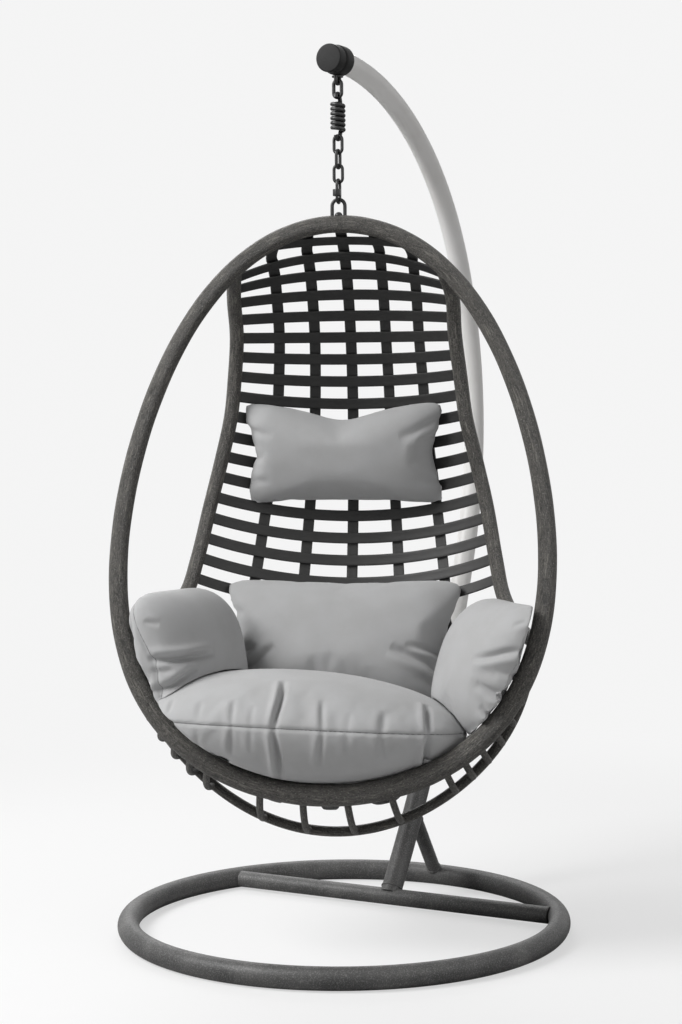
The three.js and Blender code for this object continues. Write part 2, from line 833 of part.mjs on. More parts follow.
function makeLongStrap(longShare) {
  const tight = (row) => row < strap.tightRows || row >= strap.backCount - 1;
  const stops = [-1, ...rows].flatMap((row) => (tight(row) ? [row, row + 0.5] : [row]));
  const lap = strap.thickness + strap.lapGap;
  const stations = [...stops, rowCount].map((row) => {
    const { point, outward } = shellFrame(row, longShare * spread(row));
    return { point: point.addScaledVector(outward, lap), outward };
  });
  stations.forEach((station, i) => {
    const before = stations[Math.max(i - 1, 0)].point;
    const after = stations[Math.min(i + 1, stations.length - 1)].point;
    station.along = after.clone().sub(before).normalize();
  });
  return toSolid(ribbon(stations)).subtract(grownHoop);
}

// Cradle: a tube behind and below the hoop's lower half, on rungs that reach the hoop

function awayFromMiddle(point) {
  const middle = hoopPoint(0).add(hoopPoint(180)).multiplyScalar(0.5);
  return point.clone().sub(middle).normalize();
}

function cradlePoint(degrees) {
  const share = clamp((degrees - cradle.startAngle) / (360 - 2 * cradle.startAngle), 0, 1);
  const bulge = 1 - (1 - Math.sin(Math.PI * share)) ** 2;
  const outward = lerp(cradle.outside, cradle.below, Math.sin(Math.PI * share) ** 4);
  const point = hoopPoint(degrees);
  return point.addScaledVector(awayFromMiddle(point), outward * bulge)
    .addScaledVector(hoopBack, cradle.back * bulge);
}

class CradlePath extends THREE.Curve {
  getPoint(share, target = new THREE.Vector3()) {
    const degrees = cradle.startAngle + share * (360 - 2 * cradle.startAngle);
    return target.copy(cradlePoint(degrees));
  }
}

// A rung bows outwards, clear of the straps inside it
function rungPath(angle) {
  const [start, end] = [hoopPoint(angle), cradlePoint(angle)];
  const bow = cradle.rungBowShare * start.distanceTo(end);
  const bend = start.clone().lerp(end, 0.5).addScaledVector(awayFromMiddle(start), bow);
  return new THREE.QuadraticBezierCurve3(start, bend, end);
}

function makeCradle() {
  const band = tubeAlong(new CradlePath(), cradle.steps, cradle.tube / 2, cradle.sides);
  const sideAngles = Array.from({ length: cradle.sideRungs }, (_, i) => (
    strap.seatFirstAngle + (i + 0.5) * strap.seatStepAngle));
  const footAngles = Array.from({ length: cradle.footRungs }, (_, i) => (
    180 - (i + 0.5) * cradle.footRungAngle));
  const angles = [...sideAngles, ...footAngles].flatMap((angle) => [angle, 360 - angle]);
  const rungs = angles.map((angle) => (
    tubeAlong(rungPath(angle), cradle.rungSteps, cradle.rung / 2, wireSides)));
  return toGeometry([band, ...rungs].map(toSolid)
    .reduce((whole, next) => whole.add(next))
    .subtract(grownHoop));
}

// Cushions: crowned pillows with a seam round the edge, each let down until it meets its seat

function pillow(sizeShares, { squareness, waistShare, bendShare }) {
  const width = sizeShares.width * hoop.halfReach;
  const depth = sizeShares.depth * hoop.halfReach;
  const thickness = sizeShares.thickness * hoop.halfReach;
  const outline = Array.from({ length: cushionSides }, (_, i) => {
    const angle = 2 * Math.PI * (i + 0.5) / cushionSides;
    const [c, s] = [Math.abs(Math.cos(angle)), Math.abs(Math.sin(angle))];
    const reach = 1 / (c ** squareness + s ** squareness) ** (1 / squareness);
    const waist = 1 - waistShare * (1 + Math.cos(4 * angle)) / 2;
    return vec(Math.cos(angle) * reach * waist * width / 2,
      Math.sin(angle) * reach * waist * depth / 2, 0);
  });
  const bent = (point) => {
    const x = point.x / (width / 2);
    return point.setZ(point.z + bendShare * width * x * x);
  };
  const positions = [];
  const indices = [];
  const ringStart = (ringIndex, side) => (ringIndex === 0 ? 0
    : cushionSides * (2 * ringIndex - 1 + (side > 0 ? 0 : 1)));
  outline.forEach((p) => positions.push(...bent(p.clone()).toArray()));
  for (let k = 1; k < cushionRings; k++) {
    const share = 1 - k / cushionRings;
    const height = thickness / 2 * (1 - share ** crownPower) ** crownFullness;
    for (const side of [1, -1]) {
      outline.forEach((p) => {
        const point = p.clone().multiplyScalar(share).setZ(side * height);
        positions.push(...bent(point).toArray());
      });
    }
  }
  const poles = [1, -1].map((side) => {
    positions.push(0, 0, side * thickness / 2);
    return positions.length / 3 - 1;
  });
  [1, -1].forEach((side, which) => {
    const face = (a, b, c) => (side > 0 ? indices.push(a, b, c) : indices.push(a, c, b));
    for (let k = 0; k < cushionRings; k++) {
      for (let i = 0; i < cushionSides; i++) {
        const j = (i + 1) % cushionSides;
        const outer = ringStart(k, side);
        const inner = ringStart(k + 1, side);
        if (k + 1 === cushionRings) {
          face(outer + i, outer + j, poles[which]);
        } else {
          face(outer + i, outer + j, inner + j);
          face(outer + i, inner + j, inner + i);
        }
      }
    }
  });
  const geometry = new THREE.BufferGeometry();
  geometry.setAttribute('position', new THREE.Float32BufferAttribute(positions, 3));
  geometry.setIndex(indices);
  return geometry;
}

// Moves a cushion along a direction until it is a clearance short of what carries it
function settle(geometry, direction) {
  const movedBy = (distance) => (
    geometry.clone().translate(...direction.clone().multiplyScalar(distance).toArray()));
  const meets = (distance) => {
    const moved = toSolid(movedBy(distance));
    return carriers.some((carrier) => moved.intersect(carrier).volume() > 0);
  };
  let touching = settleStep;
  while (!meets(touching)) touching += settleStep;
  let clear = touching - settleStep;
  while (touching - clear > settleError) {
    const between = (clear + touching) / 2;
    if (meets(between)) touching = between;
    else clear = between;
  }
  return movedBy(clear - GAP);
}

function placed(geometry, { tilt, turn, roll }, placeShares) {
  const euler = new THREE.Euler(radians(tilt), radians(roll), radians(turn), 'ZXY');
  const matrix = new THREE.Matrix4().makeRotationFromEuler(euler);
  matrix.setPosition(shellPlace(placeShares));
  return geometry.applyMatrix4(matrix);
}

// The chair, with its parts grouped as they move

const chair = new THREE.Group();
const stand = new THREE.Group();
stand.rotation.z = radians(standTurn);
const basket = new THREE.Group();
chair.add(stand, basket);

function addStand() {
  addMesh(stand, 'base_ring', makeBaseRing(), hammertone);
  addMesh(stand, 'crossbar', makeCrossbar(), hammertone);
  addMesh(stand, 'lower_post', makeLowerPost(), hammertone);
  addMesh(stand, 'rear_brace', makeRearBrace(), hammertone);
  addMesh(stand, 'upper_pole', makeUpperPole(), paleSatin);
  addMesh(stand, 'pole_spigot', makePoleSpigot(), hammertone);
  addMesh(stand, 'joint_bolt_lower', makeJointBolt(-1), blackMetal);
  addMesh(stand, 'joint_bolt_upper', makeJointBolt(1), blackMetal);
  addMesh(stand, 'hanger_collar', makeHangerCollar(), blackPlastic);
  addMesh(stand, 'pole_end_cap', makePoleEndCap(), blackPlastic);
  addMesh(stand, 'eye_bolt', makeEyeBolt(), blackMetal);
  addMesh(stand, 'eye_nut', makeEyeNut(), blackMetal);
}

function addHanging(name, geometry, turn, edgeOn) {
  const mesh = addMesh(chair, name, geometry, blackMetal);
  mesh.rotation.z = radians(turn + (edgeOn ? 0 : 90));
}

function addChain() {
  addHanging('top_link', makeLink(topLink, topLinkHigh, topLinkLow), standTurn, false);
  addHanging('spring', makeSpring(), standTurn, true);
  chainTurns.forEach((turn, i) => {
    const high = chainHigh - i * linkStep;
    const low = high - (chainLink.length - chainLink.wire);
    addHanging(`chain_link_${i + 1}`, makeLink(chainLink, high, low), turn, i % 2 === 1);
  });
  addHanging('quick_link', makeQuickLink(), quickLinkTurn, true);
  addHanging('quick_link_nut', makeQuickLinkNut(), quickLinkTurn, true);
}

const carriers = [];

function addCarrier(name, geometry, look) {
  addMesh(basket, name, geometry, look);
  carriers.push(toSolid(geometry));
}

function addBasket() {
  addCarrier('hoop', makeHoop(0), barkBrown);
  addCarrier('back_rail_left', makeBackRail(-1), barkBrown);
  addCarrier('back_rail_right', makeBackRail(1), barkBrown);
  addMesh(basket, 'hanger_loop', makeHangerLoop(), blackMetal);
  addMesh(basket, 'hanger_bolt', makeLoopBolt(), blackMetal);
  addCarrier('cradle_ladder', makeCradle(), strapBlack);
  rows.forEach((row) => {
    const seatRow = row - strap.backCount;
    const name = seatRow < 0 ? `back_strap_${row + 1}` : `seat_strap_${seatRow + 1}`;
    addCarrier(name, toGeometry(makeCrossStrap(row)), strapBlack);
  });
  strap.longShares.forEach((share, i) => {
    addCarrier(`long_strap_${i + 1}`, toGeometry(makeLongStrap(share)), strapBlack);
  });
}

function addCushions() {
  for (const { name, sizeShares, form, place, placeShares, directions } of cushions) {
    const start = placed(pillow(sizeShares, form), place, placeShares);
    const seated = directions.reduce((geometry, direction) => (
      settle(geometry, vec(...direction))), start);
    addCarrier(name, seated, greyFabric);
  }
}

addStand();
addChain();
addBasket();
addCushions();

// The origin is on the floor, under the middle of the whole chair
const extent = new THREE.Box3().setFromObject(chair, true);
const middle = extent.getCenter(new THREE.Vector3());
chair.position.set(-middle.x, -middle.y, -extent.min.z);

export default chair;
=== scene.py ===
import logging
import math
from dataclasses import dataclass, field
from enum import Enum
from typing import Sequence, Union

import bpy
import numpy as np
from mathutils import Matrix, Vector
from mathutils.bvhtree import BVHTree


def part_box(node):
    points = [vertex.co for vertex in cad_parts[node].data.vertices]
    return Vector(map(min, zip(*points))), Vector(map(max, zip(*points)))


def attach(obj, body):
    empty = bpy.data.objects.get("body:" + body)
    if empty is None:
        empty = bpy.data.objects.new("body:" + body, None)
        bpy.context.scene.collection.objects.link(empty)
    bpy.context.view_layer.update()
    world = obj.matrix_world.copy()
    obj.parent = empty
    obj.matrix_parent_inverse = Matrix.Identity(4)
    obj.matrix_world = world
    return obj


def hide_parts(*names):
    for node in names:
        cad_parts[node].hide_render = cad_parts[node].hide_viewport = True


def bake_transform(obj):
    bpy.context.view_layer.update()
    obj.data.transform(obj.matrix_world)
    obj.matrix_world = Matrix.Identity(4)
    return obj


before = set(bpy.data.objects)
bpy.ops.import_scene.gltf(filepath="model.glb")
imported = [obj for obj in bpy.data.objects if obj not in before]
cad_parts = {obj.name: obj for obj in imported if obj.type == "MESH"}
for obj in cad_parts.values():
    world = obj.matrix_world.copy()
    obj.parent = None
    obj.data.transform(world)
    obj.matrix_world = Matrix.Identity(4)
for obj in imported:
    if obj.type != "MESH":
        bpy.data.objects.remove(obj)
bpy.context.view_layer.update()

logging.basicConfig(level=logging.INFO, format="%(name)s: %(message)s")
LOG = logging.getLogger("pod_chair")

MM = 0.001
SAME_POINT = 1e-6
CURVE_STEPS = 201
HANG_AXIS_Y = (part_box("base_ring")[0].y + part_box("base_ring")[1].y) / 2
Points = np.ndarray


# Small tools for meshes


def select_only(*pieces: bpy.types.Object) -> None:
    """Leaves only these pieces selected, with the first one active.

    Args:
        pieces: the objects to select, or none before a primitive is added.
    """
    if bpy.context.object and bpy.context.object.mode != "OBJECT":
        bpy.ops.object.mode_set(mode="OBJECT")
    bpy.ops.object.select_all(action="DESELECT")
    for piece in pieces:
        piece.select_set(True)
    bpy.context.view_layer.objects.active = pieces[0] if pieces else None


def read_points(piece: bpy.types.Object) -> Points:
    """A mesh's points as an array, in metres.

    Args:
        piece: the mesh object.

    Returns:
        One row of x, y and z for each point.
    """
    flat = np.zeros(len(piece.data.vertices) * 3)
    piece.data.vertices.foreach_get("co", flat)
    return flat.reshape(-1, 3)


def write_points(piece: bpy.types.Object, points: Points) -> None:
    """Moves a mesh's points.

    Args:
        piece: the mesh object.
        points: one row of x, y and z for each point.
    """
    piece.data.vertices.foreach_set("co", np.ascontiguousarray(points, float).ravel())
    piece.data.update()


def read_normals(piece: bpy.types.Object) -> Points:
    """A mesh's point normals as an array.

    Args:
        piece: the mesh object.

    Returns:
        One row of x, y and z for each point.
    """
    flat = np.zeros(len(piece.data.vertices) * 3)
    piece.data.vertex_normals.foreach_get("vector", flat)
    return flat.reshape(-1, 3)


def apply_modifier(piece: bpy.types.Object, kind: str, **settings: object) -> None:
    """Adds a modifier, sets it and applies it.

    Args:
        piece: the mesh object.
        kind: Blender's name for the modifier.
        settings: the modifier's own settings.
    """
    select_only(piece)
    modifier = piece.modifiers.new(kind.title(), kind)
    for name, value in settings.items():
        setattr(modifier, name, value)
    bpy.ops.object.modifier_apply(modifier=modifier.name)


def smooth(piece: bpy.types.Object, degrees: float = 40.0) -> None:
    """Shades a piece smooth except across sharp edges.

    Args:
        piece: the mesh object.
        degrees: faces that meet at more than this stay sharp.
    """
    select_only(piece)
    bpy.ops.object.shade_smooth_by_angle(angle=math.radians(degrees))


def face_outwards(piece: bpy.types.Object) -> None:
    """Turns all faces of a closed piece outwards.

    Args:
        piece: the mesh object.
    """
    select_only(piece)
    bpy.ops.object.mode_set(mode="EDIT")
    bpy.ops.mesh.select_all(action="SELECT")
    bpy.ops.mesh.normals_make_consistent(inside=False)
    bpy.ops.object.mode_set(mode="OBJECT")


def join(name: str, pieces: Sequence[bpy.types.Object]) -> bpy.types.Object:
    """Joins pieces into one object.

    Args:
        name: the joined object's name.
        pieces: the objects to join.

    Returns:
        The joined object.
    """
    select_only(*pieces)
    bpy.ops.object.join()
    pieces[0].name = name
    return pieces[0]


def flat_grid(name: str, columns: int, rows: int) -> tuple[bpy.types.Object, Points]:
    """A grid primitive to roll or lay along a path.

    Args:
        name: the new object's name.
        columns: faces across.
        rows: faces along.

    Returns:
        The object, and each point's place in the grid as shares from 0 to 1, across and along.
    """
    select_only()
    bpy.ops.mesh.primitive_grid_add(x_subdivisions=columns, y_subdivisions=rows, size=1)
    piece = bpy.context.object
    piece.name = name
    shares = read_points(piece)[:, :2] + 0.5
    return piece, shares


def scale_map(piece: bpy.types.Object, across: float, along: float) -> None:
    """Gives a grid's map the size of the real surface.

    Args:
        piece: the mesh object.
        across: metres across the map.
        along: metres along the map.
    """
    layer = piece.data.uv_layers.active
    flat = np.zeros(len(layer.data) * 2)
    layer.data.foreach_get("uv", flat)
    layer.data.foreach_set("uv", (flat.reshape(-1, 2) * (across, along)).ravel())


def along_path(points: Points, shares: Points) -> Points:
    """Places on a line of points, by share of its length.

    Args:
        points: the line's points.
        shares: shares from 0 to 1.

    Returns:
        One place for each share.
    """
    steps = np.linalg.norm(np.diff(points, axis=0), axis=1)
    reached = np.concatenate([[0], np.cumsum(steps)])
    reached /= reached[-1]
    return np.stack([np.interp(shares, reached, points[:, k]) for k in range(3)], axis=1)


def unit(vectors: Points) -> Points:
    """Vectors scaled to a length of one."""
    return vectors / np.maximum(np.linalg.norm(vectors, axis=-1, keepdims=True), 1e-12)


def path_frames(points: Points, closed: bool) -> tuple[Points, Points]:
    """Two directions square to a path at each point, which turn as little as they can.

    Args:
        points: the path, without its first point repeated.
        closed: whether the path's end meets its start.

    Returns:
        The two directions for each point.
    """
    if closed:
        headings = unit(np.roll(points, -1, axis=0) - np.roll(points, 1, axis=0))
    else:
        headings = unit(np.gradient(points, axis=0))
    start = np.array([0.0, 0.0, 1.0])
    nearly_along = 0.9
    if abs(headings[0] @ start) > nearly_along:
        start = np.array([1.0, 0.0, 0.0])
    first = [unit(start - headings[0] * (start @ headings[0]))]
    for heading in headings[1:]:
        turned = first[-1] - heading * (first[-1] @ heading)
        first.append(unit(turned))
    first = np.array(first)
    return first, np.cross(headings, first)


def sweep(
    name: str,
    points: Points,
    radius: Union[float, Points],
    closed: bool = False,
    sides: int = 24,
) -> bpy.types.Object:
    """A round bar or tube along a path, rolled up from a grid, with a map in metres.

    Args:
        name: the new object's name.
        points: the path in metres.
        radius: the bar's radius in metres, or one for each point.
        closed: whether the path's end meets its start.
        sides: faces round the bar.

    Returns:
        The new object.
    """
    count = len(points)
    rows = count if closed else count - 1
    piece, shares = flat_grid(name, sides, rows)
    first, second = path_frames(points, closed)
    station = np.rint(shares[:, 1] * rows).astype(int) % count
    angle = 2 * math.pi * (np.rint(shares[:, 0] * sides) % sides) / sides
    radii = np.broadcast_to(radius, (count,))[station][:, None]
    ring = first[station] * np.cos(angle)[:, None] + second[station] * np.sin(angle)[:, None]
    write_points(piece, points[station] + ring * radii)
    loop = points if not closed else np.vstack([points, points[:1]])
    length = np.linalg.norm(np.diff(loop, axis=0), axis=1).sum()
    scale_map(piece, 2 * math.pi * float(np.mean(radius)), length)
    select_only(piece)
    bpy.ops.object.mode_set(mode="EDIT")
    bpy.ops.mesh.select_all(action="SELECT")
    bpy.ops.mesh.remove_doubles(threshold=SAME_POINT)
    if not closed:
        bpy.ops.mesh.select_all(action="DESELECT")
        bpy.ops.mesh.select_mode(type="EDGE")
        bpy.ops.mesh.select_non_manifold()
        bpy.ops.mesh.fill_holes(sides=0)
    face_outwards(piece)
    smooth(piece, 50)
    return piece


def band(
    name: str, points: Points, across: Points, outward: Points, width: float, thickness: float
) -> bpy.types.Object:
    """A flat strap along a path, with softly rounded edges and a map in metres.

    Args:
        name: the new object's name.
        points: the strap's middle line in metres.
        across: the direction over its width at each point.
        outward: the direction of its thickness at each point.
        width: its width in metres.
        thickness: its thickness in metres.

    Returns:
        The new object.
    """
    columns, crown_share, edge_share = 4, 0.5, 0.3
    piece, shares = flat_grid(name, columns, len(points) - 1)
    station = np.rint(shares[:, 1] * (len(points) - 1)).astype(int)
    over = (shares[:, 0] - 0.5)[:, None]
    crown = (0.25 - over**2) * thickness * crown_share
    write_points(piece, points[station] + across[station] * over * width + outward[station] * crown)
    length = np.linalg.norm(np.diff(points, axis=0), axis=1).sum()
    scale_map(piece, width, length)
    apply_modifier(piece, "SOLIDIFY", thickness=thickness, offset=0.0, use_even_offset=True)
    apply_modifier(
        piece, "BEVEL", width=thickness * edge_share, segments=2, limit_method="ANGLE",
        angle_limit=math.radians(50),
    )
    smooth(piece, 60)
    return piece


def tree_of(piece: bpy.types.Object) -> BVHTree:
    """A tree of a piece's faces."""
    return BVHTree.FromPolygons(
        [vertex.co.copy() for vertex in piece.data.vertices],
        [tuple(polygon.vertices) for polygon in piece.data.polygons],
    )


def grid_faces(width: int, rows: int) -> list[tuple[int, ...]]:
    """The faces of a grid whose points lie row after row.

    Args:
        width: points in a row.
        rows: how many rows.

    Returns:
        Each face's four points by number.
    """
    corners = [i * width + j for i in range(rows - 1) for j in range(width - 1)]
    return [(a, a + 1, a + width + 1, a + width) for a in corners]


def facing_tree(
    points: list[Vector], faces: list[tuple[int, ...]], probe: Vector, target: Vector
) -> BVHTree:
    """A tree of faces that look at a target.

    Args:
        points: the points in metres.
        faces: the faces by their points' numbers.
        probe: a place, at whose nearest face the direction is judged.
        target: what that face looks at.

    Returns:
        The tree.
    """
    tree = BVHTree.FromPolygons(points, faces)
    place, normal = tree.find_nearest(probe)[:2]
    if (target - place).dot(normal) < 0:
        tree = BVHTree.FromPolygons(points, [tuple(reversed(face)) for face in faces])
    return tree


# Shader maths in plain expressions


class Signal:
    """A shader socket that takes part in sums."""

    def __init__(self, nodes: "Nodes", socket: bpy.types.NodeSocket) -> None:
        """Keeps the socket and the nodes that it belongs to."""
        self.nodes = nodes
        self.socket = socket

    def __add__(self, other: Union["Signal", float]) -> "Signal":
        """This plus the other."""
        return self.nodes.maths("ADD", self, other)

    __radd__ = __add__

    def __mul__(self, other: Union["Signal", float]) -> "Signal":
        """This times the other."""
        return self.nodes.maths("MULTIPLY", self, other)

    __rmul__ = __mul__

    def __sub__(self, other: Union["Signal", float]) -> "Signal":
        """This less the other."""
        return self.nodes.maths("SUBTRACT", self, other)

    def __rsub__(self, other: Union["Signal", float]) -> "Signal":
        """The other less this."""
        return self.nodes.maths("SUBTRACT", other, self)

    def size(self) -> "Signal":
        """This without its sign."""
        return self.nodes.maths("ABSOLUTE", self)

    def wave(self) -> "Signal":
        """The sine of this."""
        return self.nodes.maths("SINE", self)

    def ramp(self, low: float, high: float) -> "Signal":
        """A smooth rise from 0 at low to 1 at high.

        Args:
            low: where the rise starts.
            high: where the rise ends; below low for a fall.

        Returns:
            The risen signal.
        """
        return self.nodes.node(
            "ShaderNodeMapRange",
            {"interpolation_type": "SMOOTHSTEP"},
            {"Value": self, "From Min": low, "From Max": high},
        )


Value = Union[Signal, float, Sequence[float]]


class Nodes:
    """A node tree that is built up in code."""

    def __init__(self, tree: bpy.types.NodeTree) -> None:
        """Keeps the tree."""
        self.tree = tree

    def feed(self, socket: bpy.types.NodeSocket, value: Value) -> None:
        """Links a signal to a socket, or puts a plain value on it.

        Args:
            socket: the socket that is fed.
            value: the signal or the plain value.
        """
        if isinstance(value, Signal):
            self.tree.links.new(value.socket, socket)
        else:
            socket.default_value = value

    def node(
        self, kind: str, settings: dict[str, object], values: dict[Union[str, int], Value],
        output: Union[str, int] = 0,
    ) -> Signal:
        """Adds a node.

        Args:
            kind: Blender's name for the node.
            settings: the node's own settings, set first.
            values: what its sockets hold or are linked to.
            output: which of its outputs is used.

        Returns:
            The node's output.
        """
        made = self.tree.nodes.new(kind)
        for key, value in settings.items():
            setattr(made, key, value)
        for key, value in values.items():
            self.feed(made.inputs[key], value)
        return Signal(self, made.outputs[output])

    def maths(self, operation: str, first: Value, second: Value = 0.0) -> Signal:
        """A sum on two values."""
        return self.node("ShaderNodeMath", {"operation": operation}, {0: first, 1: second})


class Paint(Nodes):
    """One material's nodes, from a bare principled surface up."""

    def __init__(self, name: str) -> None:
        """Starts a material with its surface and output nodes.

        Args:
            name: the material's name.
        """
        self.material = bpy.data.materials.new(name)
        self.material.use_nodes = True
        super().__init__(self.material.node_tree)
        self.surface = self.tree.nodes["Principled BSDF"]

    def place(self) -> Signal:
        """The surface's place on its object, in metres."""
        return self.node("ShaderNodeTexCoord", {}, {}, "Object")

    def map(self) -> Signal:
        """The surface's own map, in metres."""
        return self.node("ShaderNodeTexCoord", {}, {}, "UV")

    def attribute(self, name: str, part: str = "Vector") -> Signal:
        """A value stored on the mesh."""
        return self.node("ShaderNodeAttribute", {"attribute_name": name}, {}, part)

    def stretched(self, vector: Signal, scale: Sequence[float]) -> Signal:
        """A vector with each part scaled."""
        return self.node(
            "ShaderNodeVectorMath", {"operation": "MULTIPLY"}, {0: vector, 1: tuple(scale)}
        )

    def part(self, vector: Signal, which: str) -> Signal:
        """One part of a vector, X, Y or Z."""
        return self.node("ShaderNodeSeparateXYZ", {}, {0: vector}, which)

    def noise(self, vector: Signal, scale: float, detail: float = 3.0, rough: float = 0.55) -> Signal:
        """Soft noise from 0 to 1, with that many blotches in a metre."""
        return self.node(
            "ShaderNodeTexNoise", {},
            {"Vector": vector, "Scale": scale, "Detail": detail, "Roughness": rough},
        )

    def mix(self, share: Value, first: Value, second: Value) -> Signal:
        """Two colours mixed.

        Args:
            share: how much of the second.
            first: the first colour.
            second: the second colour.

        Returns:
            The mixed colour.
        """
        return self.node(
            "ShaderNodeMix", {"data_type": "RGBA"}, {0: share, 6: first, 7: second}, 2
        )

    def bump(self, height: Signal, depth: float, strength: float = 1.0) -> Signal:
        """A normal from a height signal.

        Args:
            height: the signal, 0 low and 1 high.
            depth: the height of 1 in metres.
            strength: how much of it shows.

        Returns:
            The bumped normal.
        """
        return self.node(
            "ShaderNodeBump", {}, {"Height": height, "Distance": depth, "Strength": strength}
        )

    def finish(self, **sockets: Value) -> bpy.types.Material:
        """Sets the surface's sockets.

        Args:
            sockets: the surface's values by name, with _ for a space.

        Returns:
            The material.
        """
        for key, value in sockets.items():
            self.feed(self.surface.inputs[key.replace("_", " ")], value)
        return self.material


def grey(level: float, warm: float = 0.0) -> tuple[float, float, float, float]:
    """A grey as a colour, warmer for a positive warm."""
    return (level * (1 + warm), level * (1 + 0.25 * warm), level * (1 - warm), 1.0)


# Finishes, with scales in blotches to a metre and lengths in metres


@dataclass(frozen=True)
class Hammertone:
    """Dark grey powder coat with a fine pebbled skin."""

    name: str = "hammertone"
    dark: float = 0.034
    light: float = 0.185
    pebble: float = 230.0
    drift: float = 9.0
    relief: float = 0.0007

    def material(self) -> bpy.types.Material:
        """The finish as a material."""
        paint = Paint(self.name)
        place = paint.place()
        pebbles = paint.node(
            "ShaderNodeTexVoronoi", {"feature": "SMOOTH_F1"},
            {"Vector": place, "Scale": self.pebble, "Smoothness": 0.6},
        )
        specks = paint.noise(place, self.pebble * 1.7, 2.0)
        drift = paint.noise(place, self.drift, 3.0)
        tone = specks.ramp(0.45, 0.75) * 0.6 + drift.ramp(0.3, 0.8) * 0.4
        colour = paint.mix(tone, grey(self.dark, 0.01), grey(self.light, 0.02))
        rough = 0.42 + pebbles * 0.25
        skin = paint.bump(1 - pebbles, self.relief, 0.5)
        return paint.finish(Base_Color=colour, Roughness=rough, Normal=skin)


@dataclass(frozen=True)
class PaleCoat:
    """Off-white coat of the upper pole, nearly smooth."""

    name: str = "pale_pole"
    level: float = 0.76
    peel: float = 260.0
    drift: float = 5.0
    relief: float = 0.0001

    def material(self) -> bpy.types.Material:
        """The finish as a material."""
        paint = Paint(self.name)
        place = paint.place()
        peel = paint.noise(place, self.peel, 2.0)
        drift = paint.noise(place, self.drift, 3.0)
        colour = paint.mix(
            drift.ramp(0.3, 0.75), grey(self.level, 0.012), grey(self.level * 0.9, 0.022)
        )
        rough = 0.36 + drift * 0.12
        return paint.finish(
            Base_Color=colour, Roughness=rough, Normal=paint.bump(peel, self.relief, 0.08)
        )


@dataclass(frozen=True)
class BlackPlastic:
    """Moulded plastic of the pole's head."""

    name: str = "black_plastic"
    level: float = 0.013
    grain: float = 900.0
    wear: float = 60.0
    relief: float = 0.0003
    shine: float = 0.2

    def material(self) -> bpy.types.Material:
        """The finish as a material."""
        paint = Paint(self.name)
        place = paint.place()
        grain = paint.noise(place, self.grain, 2.0)
        wear = paint.noise(place, self.wear, 4.0)
        colour = paint.mix(wear.ramp(0.55, 0.8), grey(self.level), grey(self.level * 1.7, 0.02))
        return paint.finish(
            Base_Color=colour, Roughness=0.48 + wear * 0.2, Specular_IOR_Level=self.shine,
            Normal=paint.bump(grain, self.relief, 0.4),
        )


@dataclass(frozen=True)
class BlackSteel:
    """Black coated steel of the chain and the spring."""

    name: str = "black_metal"
    level: float = 0.011
    rubbed: float = 0.07
    dimples: float = 500.0
    rub: float = 120.0
    relief: float = 0.0003

    def material(self) -> bpy.types.Material:
        """The finish as a material."""
        paint = Paint(self.name)
        place = paint.place()
        dimples = paint.noise(place, self.dimples, 3.0)
        rub = paint.noise(place, self.rub, 4.0)
        colour = paint.mix(rub.ramp(0.6, 0.85), grey(self.level), grey(self.rubbed, 0.02))
        return paint.finish(
            Base_Color=colour, Roughness=0.3 + rub * 0.25, Metallic=rub.ramp(0.62, 0.9) * 0.6,
            Normal=paint.bump(dimples, self.relief, 0.5),
        )


@dataclass(frozen=True)
class BarkSleeve:
    """Grey brown moulded sleeve of the hoop and rails, with cracks and pale streaks along it."""

    name: str = "bark_brown"
    dark: float = 0.014
    middle: float = 0.100
    pale: float = 0.270
    fibres: float = 430.0
    streaks: float = 190.0
    cracks: float = 130.0
    flecks: float = 520.0
    wobble: float = 26.0
    relief: float = 0.0020

    def grain(self, paint: Paint, along: float) -> Signal:
        """The sleeve's map, with its run along the tube scaled by a share."""
        return paint.stretched(paint.map(), (1.0, along, 1.0))

    def material(self) -> bpy.types.Material:
        """The finish as a material."""
        paint = Paint(self.name)
        wobble = paint.noise(paint.place(), self.wobble, 3.0)
        fibres = paint.noise(self.grain(paint, 0.22), self.fibres, 5.0, 0.75)
        streaks = paint.noise(self.grain(paint, 0.10), self.streaks, 4.0, 0.65)
        cracks = paint.node(
            "ShaderNodeTexVoronoi", {"feature": "DISTANCE_TO_EDGE"},
            {"Vector": self.grain(paint, 0.16), "Scale": self.cracks, "Randomness": 1.0},
        )
        crack = cracks.ramp(0.06, 0.0) * wobble.ramp(0.46, 0.6)
        flecks = paint.noise(self.grain(paint, 0.5), self.flecks, 3.0).ramp(0.56, 0.70)
        tone = fibres.ramp(0.36, 0.66)
        colour = paint.mix(tone, grey(self.dark, 0.10), grey(self.middle, 0.09))
        colour = paint.mix(streaks.ramp(0.52, 0.74) * 0.7, colour, grey(self.pale, 0.09))
        colour = paint.mix(flecks * 0.65, colour, grey(self.pale * 1.3, 0.06))
        colour = paint.mix(crack * 0.7, colour, grey(self.dark * 0.5, 0.05))
        height = tone * 0.5 + streaks * 0.5 + flecks * 0.3 - crack * 0.6
        return paint.finish(
            Base_Color=colour, Roughness=0.40 + tone * 0.16,
            Normal=paint.bump(height, self.relief, 0.9),
        )


